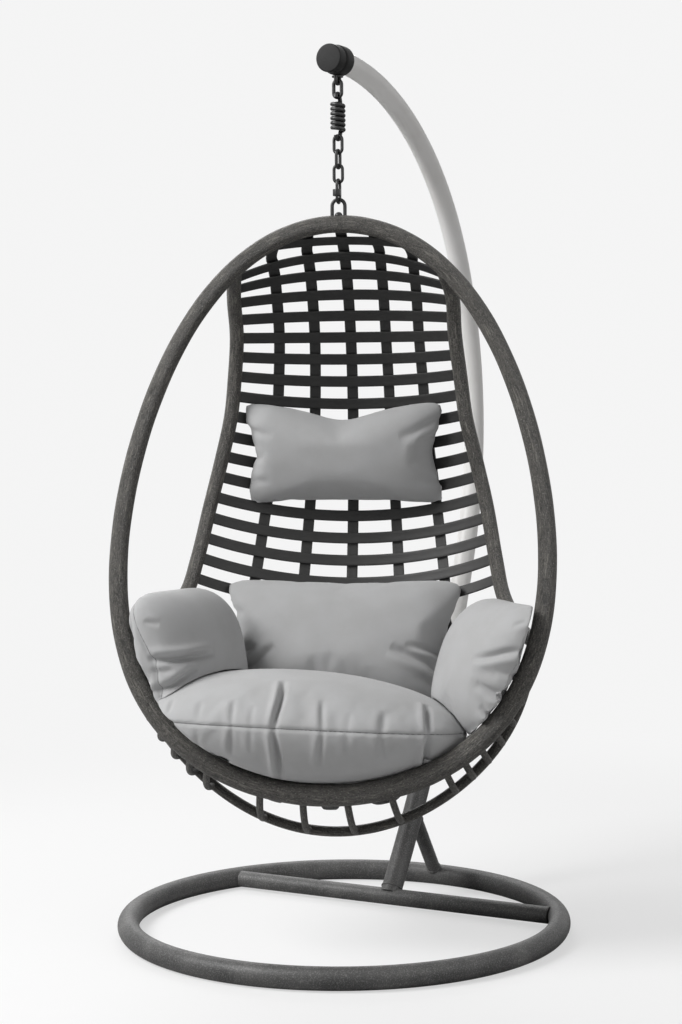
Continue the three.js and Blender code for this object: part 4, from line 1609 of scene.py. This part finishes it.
    def rung(self, degrees: float) -> bpy.types.Object:
        """A bowed rung from the hoop to the cradle's long tube.

        Args:
            degrees: the angle round the hoop, from its top.

        Returns:
            The new object.
        """
        start, end = self.hoop_point(degrees), self.cradle_point(degrees)
        bow = self.rung_bow * np.linalg.norm(end - start)
        bend = (start + end) / 2 + self.away(start) * bow
        shares = np.linspace(self.rung_start, 1, 16)[:, None]
        points = start * (1 - shares) ** 2 + bend * 2 * shares * (1 - shares) + end * shares**2
        return sweep(f"rung_{degrees:.0f}", to_frame(points), self.rung_tube / 2 * MM, False, 16)

    def cradle(self) -> bpy.types.Object:
        """The tube and rungs behind the hoop's lower half.

        Returns:
            The new object.
        """
        angles = np.linspace(self.cradle_start, 360 - self.cradle_start, 120)
        points = to_frame(np.array([self.cradle_point(angle) for angle in angles]))
        tube = sweep("cradle_tube", points, self.cradle_tube / 2 * MM, False, 20)
        sides = [
            self.seat_row_angle + (i + 0.5) * self.seat_row_step for i in range(self.side_rungs)
        ] + [180 - (i + 0.5) * self.foot_rung_step for i in range(self.foot_rungs)]
        rungs = [self.rung(angle) for side in sides for angle in (side, 360 - side)]
        return join("cradle_frame", [tube] + rungs)

    def inner_wall(self, inset: float) -> BVHTree:
        """The shell's inner face as a surface that cushions lie on.

        Args:
            inset: millimetres inside the straps' middle.

        Returns:
            A tree of its faces, which point inwards.
        """
        rows = np.linspace(0, self.row_count, 70)
        shares = np.linspace(-1.02, 1.02, 61)
        points = []
        for row in rows:
            for share in shares:
                place, _, outward = self.shell_frame(row, share)
                points.append(Vector(to_frame(place - outward * inset)))
        sitter = Vector(to_frame(np.array([0, -120.0, 800.0])))
        behind = Vector(to_frame(np.array([0, 150.0, 900.0])))
        return facing_tree(points, grid_faces(len(shares), len(rows)), behind, sitter)

    def mouth(self, reach: float) -> BVHTree:
        """The hoop's inner edge carried forward, which keeps the cushions from lying over the hoop.

        Args:
            reach: how far forward it goes, in millimetres.

        Returns:
            A tree of its faces, which point inwards.
        """
        lean = math.radians(self.lean)
        ahead = np.array([0, -math.cos(lean), math.sin(lean)])
        angles = np.linspace(self.mouth_start, 360 - self.mouth_start, 81)
        line = np.array([self.hoop_point(angle) for angle in angles])
        radii = np.array([[self.hoop_radius(angle)] for angle in angles])
        inwards = unit(np.cross(ahead, np.gradient(line, axis=0)))
        inwards = inwards * np.sign(np.sum(inwards * (line.mean(axis=0) - line), axis=1))[:, None]
        edge = line + inwards * radii * self.mouth_share
        points = [Vector(to_frame(p + ahead * step)) for step in (0, reach) for p in edge]
        probe = Vector(to_frame(edge[0] + ahead * reach / 2))
        return facing_tree(points, grid_faces(len(edge), 2), probe, probe + Vector(inwards[0]))

    def dress(self, dresser: Dresser) -> None:
        """Builds the basket and gives each piece its finish.

        Args:
            dresser: hands out the finishes.
        """
        dresser.attach(self.hoop(), Finish.BARK_BROWN, "basket", "hoop")
        dresser.attach(self.rail(-1), Finish.BARK_BROWN, "basket", "back_rail_left")
        dresser.attach(self.rail(1), Finish.BARK_BROWN, "basket", "back_rail_right")
        dresser.attach(self.cradle(), Finish.BARK_BROWN, "basket", "cradle_ladder")
        black = Finish.STRAP_BLACK
        nodes = [f"back_strap_{number + 1}" for number in range(self.back_count)]
        nodes += [f"seat_strap_{number + 1}" for number in range(self.seat_count)]
        for row, node in enumerate(nodes):
            dresser.attach(self.cross_strap(row), black, "basket", node)
        for number, share in enumerate(self.long_shares, start=1):
            dresser.attach(self.long_strap(number, share), black, "basket", f"long_strap_{number}")
        self.dress_loop(dresser)

    def dress_loop(self, dresser: Dresser) -> None:
        """Builds the loop and the bolt head on top of the hoop.

        Args:
            dresser: hands out the finishes.
        """
        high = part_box("hanger_loop")[1].z / MM - self.loop_wire / 2
        half = (self.loop_width - self.loop_wire) / 2
        bow = HangingGear.bow(half, high, self.hoop_top + self.loop_foot)[:, [1, 0, 2]]
        loop = sweep("hoop_loop", to_frame(bow), self.loop_wire / 2 * MM, False, 18)
        dresser.attach(loop, Finish.BLACK_METAL, "basket", "hanger_loop")
        select_only()
        bpy.ops.mesh.primitive_uv_sphere_add(segments=32, ring_count=16, radius=self.dome_radius * MM)
        dome = bpy.context.object
        dome.name = "bolt_dome"
        place = to_frame(np.array([0, 0, self.hoop_top + self.dome_height]))
        write_points(dome, read_points(dome) * (1, 1, self.dome_squash) + place)
        smooth(dome, 60)
        dresser.attach(dome, Finish.BLACK_METAL, "basket", "hanger_bolt")


@dataclass(frozen=True)
class Stuffing:
    """How a cushion is filled and laid, in metres, with the cloth simulation's settings."""

    voxel: float = 0.0065
    quick_voxel: float = 0.010
    slim: float = 0.86
    rise: float = 0.024
    first_clearance: float = 0.004
    second_clearance: float = 0.003
    last_clearance: float = 0.0012
    search: float = 0.11
    frames: int = 20
    quality: int = 6
    mass: float = 0.25
    tension_stiffness: float = 14
    compression_stiffness: float = 10
    bending_stiffness: float = 0.6
    uniform_pressure_force: float = 4


@dataclass(frozen=True)
class Sewing:
    """How corners, seams and folds are shaped, in metres and in shares."""

    ear_reach: float = 0.045
    ear_thinning: float = 0.05
    most_thinning: float = 0.45
    groove_depth: float = 0.0030
    groove_width: float = 0.0045
    hollow_depth: float = 0.0022
    hollow_width: float = 0.016
    over_edge: float = 0.6
    wander: float = 0.0035
    wander_rate: float = 30.0
    run_power: float = 0.7
    ridge: float = 0.45
    ridge_at: float = 1.9
    ridge_width: float = 1.3


@dataclass
class Crease:
    """A fold that runs from a seam into a cushion.

    The angle is round the outline in degrees, the rest in metres. The side is 1 or -1 for a fold
    on one face alone, and 0 for one on both.
    """

    angle: float
    length: float
    depth: float
    width: float
    side: int = 0


@dataclass
class Cushion:
    """One stuffed piece, in millimetres about the hanging axis.

    Its squareness is the power of the outline's curve, which may differ on the outer side. The
    waists draw in the edges, the taper narrows the foot, and the ears draw the corners out. Crown
    and fullness shape its section, with the lower face deeper by the factor below. The seams are
    heights as shares of half the thickness, and their lean lets them fall back towards the top.
    Folds run towards a point aim times as far out as they start, from fold_start metres inside the
    outline. The hold is the share of the sideways swelling that is kept.
    """

    name: str
    node: str
    body: str
    width: float
    height: float
    thickness: float
    squareness: float
    waists: tuple[float, float, float, float]
    centre: tuple[float, float, float]
    across: tuple[float, float, float]
    up: tuple[float, float, float]
    fill: float
    seams: tuple[float, ...] = (0.0,)
    creases: tuple[Crease, ...] = ()
    crown: float = 2.6
    fullness: float = 0.62
    outer_squareness: float = 0.0
    outer_side: int = 0
    taper: float = 0.0
    below: float = 1.0
    hold: float = 0.35
    ears: float = 0.0
    aim: float = 0.0
    fold_start: float = -0.008
    seam_lean: float = 0.0
    stuffing: Stuffing = Stuffing()
    sewing: Sewing = Sewing()

    def axes(self) -> Points:
        """The cushion's own directions.

        Returns:
            The ways across it, up it and out of its face, one in each row.
        """
        across = unit(np.array(self.across, float))
        up = np.array(self.up, float)
        up = unit(up - across * (up @ across))
        return np.array([across, up, np.cross(across, up)])

    def outline(self, angle: Points) -> Points:
        """Reach of the outline, whose squareness and waist may differ from edge to edge.

        Args:
            angle: the angles round the outline.

        Returns:
            The reach at each, as a share of half the size.
        """
        outer = np.cos(angle) * self.outer_side > 0
        power = np.where(outer, self.outer_squareness, self.squareness)
        c, s = np.abs(np.cos(angle)), np.abs(np.sin(angle))
        reach = 1 / (c**power + s**power) ** (1 / power)
        edge = np.round(np.asarray(angle) / (math.pi / 2)).astype(int) % 4
        return reach * (1 - np.array(self.waists)[edge] * (1 + np.cos(4 * angle)) / 2)

    def on_outline(self, angle: Points) -> Points:
        """The outline's points in the cushion's own directions.

        Args:
            angle: the angles round the outline.

        Returns:
            The points across and up, in millimetres.
        """
        reach = self.outline(angle)
        up = np.sin(angle) * reach
        across = np.cos(angle) * reach * (1 + self.taper * (up - 1) / 2)
        return np.stack([across * self.width / 2, up * self.height / 2], axis=-1)

    def start_mesh(self, slim: float) -> bpy.types.Object:
        """The plain pillow form before it is puffed.

        Args:
            slim: share of its thickness that it starts at.

        Returns:
            The new object.
        """
        select_only()
        bpy.ops.mesh.primitive_uv_sphere_add(segments=96, ring_count=48, radius=1)
        piece = bpy.context.object
        piece.name = self.name
        ball = read_points(piece)
        share = np.clip(np.hypot(ball[:, 0], ball[:, 1]), 0, 1)
        angle = np.arctan2(ball[:, 1], ball[:, 0])
        flat = self.on_outline(angle) * share[:, None]
        lift = (1 - share**self.crown) ** self.fullness * np.sign(ball[:, 2])
        lift = np.where(lift < 0, lift * self.below, lift)
        local = np.column_stack([flat, lift * self.thickness / 2 * slim])
        write_points(piece, to_frame(local @ self.axes() + np.array(self.centre)))
        return piece

    def puff(self, piece: bpy.types.Object, cap: float) -> None:
        """Fills the cushion with a short cloth simulation.

        Args:
            piece: the cushion.
            cap: how far a point may move, in metres.
        """
        before = read_points(piece)
        select_only(piece)
        cloth = piece.modifiers.new("Cloth", "CLOTH")
        for key in ("quality", "mass", "tension_stiffness", "compression_stiffness",
                    "bending_stiffness", "uniform_pressure_force"):
            setattr(cloth.settings, key, getattr(self.stuffing, key))
        cloth.settings.use_pressure = True
        cloth.settings.effector_weights.gravity = 0
        cloth.point_cache.frame_start = 1
        cloth.point_cache.frame_end = self.stuffing.frames
        for number in range(1, self.stuffing.frames + 1):
            bpy.context.scene.frame_set(number)
        bpy.ops.object.modifier_apply(modifier=cloth.name)
        bpy.context.scene.frame_set(1)
        after = read_points(piece)
        axes = self.axes()
        moved = (after - before) @ axes.T * (self.hold, self.hold, 1.0)
        length = np.linalg.norm(moved, axis=1, keepdims=True)
        moved = moved * np.minimum(1, cap / np.maximum(length, 1e-9))
        write_points(piece, before + moved @ axes)

    def regain(self, piece: bpy.types.Object) -> None:
        """Stretches the cushion back to its outline and draws its corners out.

        Args:
            piece: the cushion.
        """
        own = self.local(piece)
        rim = self.on_outline(np.linspace(0, 2 * math.pi, 181)) * MM
        low, high = own[:, :2].min(axis=0), own[:, :2].max(axis=0)
        wanted_low, wanted_high = rim.min(axis=0), rim.max(axis=0)
        share = (own[:, :2] - low) / (high - low)
        own[:, :2] = wanted_low + share * (wanted_high - wanted_low)
        for degrees in (45, 135, 225, 315):
            corner = self.on_outline(np.radians(degrees)) * MM
            off = np.linalg.norm(own[:, :2] - corner, axis=1)
            near = np.exp(-((off / self.sewing.ear_reach) ** 2))[:, None]
            own[:, :2] += near * corner / np.linalg.norm(corner) * self.ears * MM
            own[:, 2:] *= 1 - near * min(self.sewing.most_thinning, self.ears * self.sewing.ear_thinning)
        write_points(piece, own @ self.axes() + to_frame(np.array(self.centre)))

    def settle(self, piece: bpy.types.Object, supports: Sequence[BVHTree], clearance: float) -> None:
        """Presses the cushion's points out of what it lies against.

        Args:
            piece: the cushion.
            supports: trees of faces that point towards the free side.
            clearance: how far off them its points stay, in metres.
        """
        points = read_points(piece)
        for tree in supports:
            for index, point in enumerate(points):
                found = tree.find_nearest(Vector(point), self.stuffing.search)
                if found[0] is None:
                    continue
                off = Vector(point) - found[0]
                if off.dot(found[1]) < clearance and off.length > 0:
                    ahead = off.dot(found[1])
                    if ahead < 0 or off.length < clearance:
                        points[index] = found[0] + found[1] * clearance
        write_points(piece, points)

    def local(self, piece: bpy.types.Object) -> Points:
        """The cushion's points in its own directions, in metres from its middle."""
        return (read_points(piece) - to_frame(np.array(self.centre))) @ self.axes().T

    def from_seam(self, own: Points, seam: float) -> Points:
        """How far points lie from a seam, which may fall back towards its top.

        Args:
            own: the points in the cushion's own directions, in metres.
            seam: the seam's height as a share of half the thickness.

        Returns:
            The distances, in metres.
        """
        height = own[:, 2] - seam * self.thickness / 2 * MM
        return height + self.seam_lean * np.maximum(0, own[:, 1])

    def draw_in(self, piece: bpy.types.Object) -> None:
        """Pulls the seams in and presses the folds that run from them.

        Args:
            piece: the cushion.
        """
        own = self.local(piece)
        points = read_points(piece)
        normals = read_normals(piece)
        pull = np.zeros(len(points))
        sewing = self.sewing
        for seam in self.seams:
            off = np.abs(self.from_seam(own, seam))
            pull += sewing.groove_depth * np.exp(-((off / sewing.groove_width) ** 2))
            pull += sewing.hollow_depth * np.exp(-((off / sewing.hollow_width) ** 2))
        for crease in self.creases:
            edge = self.on_outline(np.radians(crease.angle)) * MM
            inward = unit(edge * (self.aim, 0) - edge)
            from_edge = (own[:, :2] - edge) @ inward + sewing.over_edge * np.abs(own[:, 2])
            aside = (own[:, :2] - edge) @ np.array([-inward[1], inward[0]])
            bend = aside + sewing.wander * np.sin(from_edge * sewing.wander_rate + crease.angle)
            run = np.clip((from_edge - self.fold_start) / (crease.length - self.fold_start), 0, 1)
            shape = np.where(from_edge > crease.length, 0, np.sin(math.pi * run) ** sewing.run_power)
            beside = (bend - sewing.ridge_at * crease.width) / (sewing.ridge_width * crease.width)
            fold = np.exp(-((bend / crease.width) ** 2)) - sewing.ridge * np.exp(-(beside**2))
            face = 1.0 if crease.side == 0 else (np.sign(own[:, 2]) == crease.side)
            pull += crease.depth * shape * fold * face
        write_points(piece, points - normals * pull[:, None])

    def mark(self, piece: bpy.types.Object) -> None:
        """Stores the cloth's own places and its seams on the mesh for the fabric finish.

        Args:
            piece: the cushion.
        """
        own = self.local(piece)
        offs = np.stack([self.from_seam(own, seam) for seam in self.seams])
        nearest = np.take_along_axis(offs, np.abs(offs).argmin(axis=0)[None], axis=0)[0]
        run = np.arctan2(own[:, 1], own[:, 0]) * np.hypot(own[:, 0], own[:, 1])
        for name, kind, part, values in (
            ("cloth", "FLOAT_VECTOR", "vector", own),
            ("seam", "FLOAT", "value", nearest),
            ("stitch", "FLOAT", "value", run),
        ):
            stored = piece.data.attributes.new(name, kind, "POINT")
            stored.data.foreach_set(part, np.ascontiguousarray(values, np.float32).ravel())

    def build(self, supports: Sequence[BVHTree]) -> bpy.types.Object:
        """Makes the cushion and lays it against its supports.

        Args:
            supports: what it lies against.

        Returns:
            The new object.
        """
        quick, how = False, self.stuffing
        piece = self.start_mesh(1.0 if quick else how.slim)
        self.settle(piece, supports, how.first_clearance)
        voxel = how.quick_voxel if quick else how.voxel
        apply_modifier(piece, "REMESH", mode="VOXEL", voxel_size=voxel)
        if not quick:
            self.puff(piece, how.rise)
        apply_modifier(piece, "SMOOTH", factor=0.5, iterations=3)
        self.regain(piece)
        self.settle(piece, supports, how.second_clearance)
        apply_modifier(piece, "SMOOTH", factor=0.5, iterations=3)
        apply_modifier(piece, "SUBSURF", levels=1, render_levels=1)
        self.draw_in(piece)
        self.settle(piece, supports, how.last_clearance)
        self.mark(piece)
        smooth(piece, 180)
        return piece


@dataclass
class CushionSet:
    """The seat, the back, the arms and the headrest."""

    basket: Basket
    mouth_reach: float = 150.0
    wall_inset: float = 7.0
    seat: Cushion = field(default_factory=lambda: Cushion(
        "seat_pad", "seat_cushion", "cushion_set", width=682, height=404, thickness=222,
        squareness=2.5, waists=(0, 0, 0, 0), centre=(-48, -178, 486), across=(1, 0, -0.037),
        up=(0, 1, -0.10), fill=0.75, crown=2.2, fullness=0.78, below=1.36, aim=0.86,
        creases=(
            Crease(263, 0.14, 0.014, 0.006), Crease(248, 0.06, 0.004, 0.006),
            Crease(236, 0.05, 0.002, 0.007), Crease(255, 0.05, 0.002, 0.006),
            Crease(279, 0.08, 0.005, 0.006), Crease(288, 0.05, 0.002, 0.007),
            Crease(300, 0.06, 0.004, 0.008), Crease(318, 0.11, 0.012, 0.007),
            Crease(222, 0.04, 0.003, 0.005),
        ),
    ))
    back: Cushion = field(default_factory=lambda: Cushion(
        "back_pad", "back_cushion", "cushion_set", width=540, height=298, thickness=150,
        squareness=10.0, waists=(0.03, 0.02, 0.03, 0.04), centre=(-5, 40, 632), across=(1, 0, 0),
        up=(0, 0.39, 0.92), fill=0.6, taper=0.18, ears=5.0, aim=0.3,
        creases=(
            Crease(207, 0.15, 0.010, 0.009), Crease(193, 0.10, 0.006, 0.007),
            Crease(333, 0.17, 0.012, 0.010), Crease(346, 0.13, 0.009, 0.008),
            Crease(322, 0.09, 0.004, 0.010), Crease(155, 0.07, 0.003, 0.008),
        ),
    ))
    left_arm: Cushion = field(default_factory=lambda: Cushion(
        "left_arm_pad", "arm_cushion_left", "cushion_set", width=322, height=304, thickness=162,
        squareness=2.5, waists=(0, 0, 0, 0), centre=(-310, -146, 620), across=(0.52, 0.85, 0.0),
        up=(-0.17, 0.0, 0.985), fill=0.65, seams=(0.42,), seam_lean=0.34,
        outer_squareness=6.0, outer_side=-1, fold_start=0.022,
        creases=(
            Crease(175, 0.20, 0.016, 0.008, 1), Crease(201, 0.16, 0.012, 0.008, 1),
            Crease(216, 0.12, 0.007, 0.008, 1), Crease(148, 0.06, 0.004, 0.006, 1),
            Crease(187, 0.08, 0.003, 0.006, 1),
        ),
    ))
    right_arm: Cushion = field(default_factory=lambda: Cushion(
        "right_arm_pad", "arm_cushion_right", "cushion_set", width=364, height=314, thickness=162,
        squareness=2.5, waists=(0, 0, 0, 0), centre=(330, -146, 596), across=(0.52, -0.85, 0.0),
        up=(0.27, 0.0, 0.96), fill=0.65, seams=(0.42,), seam_lean=0.34,
        outer_squareness=8.0, outer_side=1, fold_start=0.022,
        creases=(
            Crease(20, 0.16, 0.014, 0.008, 1), Crease(343, 0.13, 0.009, 0.009, 1),
            Crease(324, 0.12, 0.010, 0.008, 1), Crease(38, 0.06, 0.004, 0.006, 1),
            Crease(4, 0.08, 0.004, 0.007, 1),
        ),
    ))
    headrest: Cushion = field(default_factory=lambda: Cushion(
        "head_pad", "headrest_pillow", "basket", width=446, height=230, thickness=116,
        squareness=14.0, waists=(0.06, 0.24, 0.06, 0.02), centre=(-12, 154, 1053), across=(1, 0, 0),
        up=(0, -0.10, 1), fill=0.7, ears=9.0,
        creases=(
            Crease(152, 0.10, 0.005, 0.010), Crease(33, 0.13, 0.008, 0.011),
            Crease(212, 0.09, 0.003, 0.009), Crease(328, 0.09, 0.003, 0.009),
            Crease(183, 0.06, 0.003, 0.008), Crease(20, 0.08, 0.004, 0.008),
        ),
    ))

    def dress(self, dresser: Dresser, hoop: bpy.types.Object) -> None:
        """Builds the cushions in the order in which they lie on each other.

        Args:
            dresser: hands out the fabric.
            hoop: the hoop's sleeve, which the cushions stay inside.
        """
        mouth = self.basket.mouth(self.mouth_reach)
        wall = self.basket.inner_wall(self.wall_inset)
        round_hoop = tree_of(hoop)
        laid: list[BVHTree] = []
        for cushion in (self.seat, self.back, self.left_arm, self.right_arm, self.headrest):
            piece = cushion.build([mouth, wall, round_hoop, *laid])
            if cushion is not self.headrest:
                laid.append(tree_of(piece))
            dresser.attach(piece, Finish.GREY_FABRIC, cushion.body, cushion.node)


@dataclass(frozen=True)
class Lamp:
    """A soft square lamp: its place, what it points at, its side in metres and its watts."""

    name: str
    place: tuple[float, float, float]
    aim: tuple[float, float, float]
    size: float
    watts: float

    def hang(self) -> None:
        """Adds the lamp to the scene."""
        light = bpy.data.lights.new(self.name, "AREA")
        light.shape = "SQUARE"
        light.size = self.size
        light.energy = self.watts
        made = bpy.data.objects.new(self.name, light)
        bpy.context.scene.collection.objects.link(made)
        made.location = self.place
        ahead = Vector(self.aim) - Vector(self.place)
        made.rotation_euler = ahead.to_track_quat("-Z", "Y").to_euler()


@dataclass
class Studio:
    """The floor, the light and the camera, in metres and degrees."""

    backdrop: float = 0.91
    turn: float = 7.5
    pitch: float = 3.2292
    roll: float = -0.4431
    camera: tuple[float, float, float] = (0.592, -4.495, 1.183)
    lens: float = 72.74
    sensor: float = 36.0
    floor_size: float = 30.0
    floor_fade: tuple[float, float] = (2.6, 1.1)
    floor_level: float = 0.29
    floor_lift: float = 0.56
    floor_bounce: float = 0.55
    fill: float = 0.15
    lamps: tuple[Lamp, ...] = (
        Lamp("key", (-3.1, -1.9, 3.9), (0.0, -0.1, 0.8), size=2.4, watts=270),
        Lamp("side", (3.2, -1.6, 2.2), (0.0, 0.0, 0.9), size=2.5, watts=30),
        Lamp("rim", (-1.0, 3.0, 3.0), (0.0, 0.0, 1.0), size=2.5, watts=60),
    )

    def make_camera(self) -> None:
        """Puts the camera where the photograph was taken from."""
        lens = bpy.data.cameras.new("camera")
        lens.sensor_fit = "VERTICAL"
        lens.sensor_height = self.sensor
        lens.lens = self.lens
        camera = bpy.data.objects.new("camera", lens)
        bpy.context.scene.collection.objects.link(camera)
        turn, pitch, roll = (math.radians(a) for a in (self.turn, self.pitch, self.roll))
        ahead = np.array([
            -math.sin(turn) * math.cos(pitch), math.cos(turn) * math.cos(pitch), -math.sin(pitch)
        ])
        right = np.array([math.cos(turn), math.sin(turn), 0])
        up = np.cross(right, ahead)
        tilted = math.cos(roll) * right + math.sin(roll) * up
        upright = -math.sin(roll) * right + math.cos(roll) * up
        place = np.array(self.camera) + np.array([0, HANG_AXIS_Y, 0])
        matrix = np.eye(4)
        matrix[:3, 0], matrix[:3, 1], matrix[:3, 2], matrix[:3, 3] = tilted, upright, -ahead, place
        camera.matrix_world = Matrix(matrix.tolist())
        bpy.context.scene.camera = camera

    def make_floor(self) -> None:
        """Lays a pale floor that keeps the chair's shadow and fades into the backdrop."""
        select_only()
        bpy.ops.mesh.primitive_grid_add(x_subdivisions=8, y_subdivisions=8, size=self.floor_size)
        floor = bpy.context.object
        floor.name = "studio_floor"
        paint = Paint("studio_floor")
        place = paint.stretched(paint.place(), (1.0, 1.0, 0.0))
        far = paint.node("ShaderNodeVectorMath", {"operation": "LENGTH"}, {0: place}, "Value")
        near = far.ramp(*self.floor_fade)
        glow = paint.node(
            "ShaderNodeEmission", {}, {"Color": grey(self.backdrop), "Strength": 1.0}
        )
        lift = paint.node(
            "ShaderNodeEmission", {}, {"Color": grey(1.0), "Strength": self.floor_lift}
        )
        paint.finish(Base_Color=grey(self.floor_level), Roughness=0.9)
        matte = Signal(paint, paint.surface.outputs[0])
        lifted = paint.node("ShaderNodeAddShader", {}, {0: matte, 1: lift})
        shown = paint.node("ShaderNodeMixShader", {}, {0: near, 1: glow, 2: lifted})
        bounce = paint.node("ShaderNodeBsdfDiffuse", {}, {"Color": grey(self.floor_bounce)})
        seen = paint.node("ShaderNodeLightPath", {}, {}, "Is Camera Ray")
        either = paint.node("ShaderNodeMixShader", {}, {0: seen, 1: bounce, 2: shown})
        paint.feed(paint.tree.nodes["Material Output"].inputs["Surface"], either)
        floor.data.materials.append(paint.material)

    def make_light(self) -> None:
        """Lights the chair softly from the upper left, with a bright surround."""
        world = bpy.data.worlds.new("surround")
        bpy.context.scene.world = world
        world.use_nodes = True
        world.node_tree.nodes.clear()
        sky = Nodes(world.node_tree)
        camera, glossy, through = (
            sky.node("ShaderNodeLightPath", {}, {}, f"Is {ray} Ray")
            for ray in ("Camera", "Glossy", "Transmission")
        )
        direct = sky.maths("MAXIMUM", sky.maths("MAXIMUM", camera, glossy), through)
        fill = sky.node("ShaderNodeBackground", {}, {"Color": grey(1.0), "Strength": self.fill})
        seen = sky.node("ShaderNodeBackground", {}, {"Color": grey(self.backdrop), "Strength": 1.0})
        mixed = sky.node("ShaderNodeMixShader", {}, {0: direct, 1: fill, 2: seen})
        output = world.node_tree.nodes.new("ShaderNodeOutputWorld")
        sky.feed(output.inputs["Surface"], mixed)
        for lamp in self.lamps:
            lamp.hang()

    def make(self) -> None:
        """Sets up the whole studio."""
        self.make_camera()
        self.make_floor()
        self.make_light()
        bpy.context.scene.view_settings.view_transform = "Standard"


def main() -> None:
    """Builds the studio and dresses the chair."""
    Studio().make()
    dresser = Dresser()
    dresser.make()
    stand = Stand()
    stand.dress(dresser)
    HangingGear(stand).dress(dresser)
    basket = Basket()
    basket.dress(dresser)
    CushionSet(basket).dress(dresser, bpy.data.objects["hoop_sleeve"])
    bpy.ops.object.select_all(action="DESELECT")


if __name__ == "__main__":
    main()
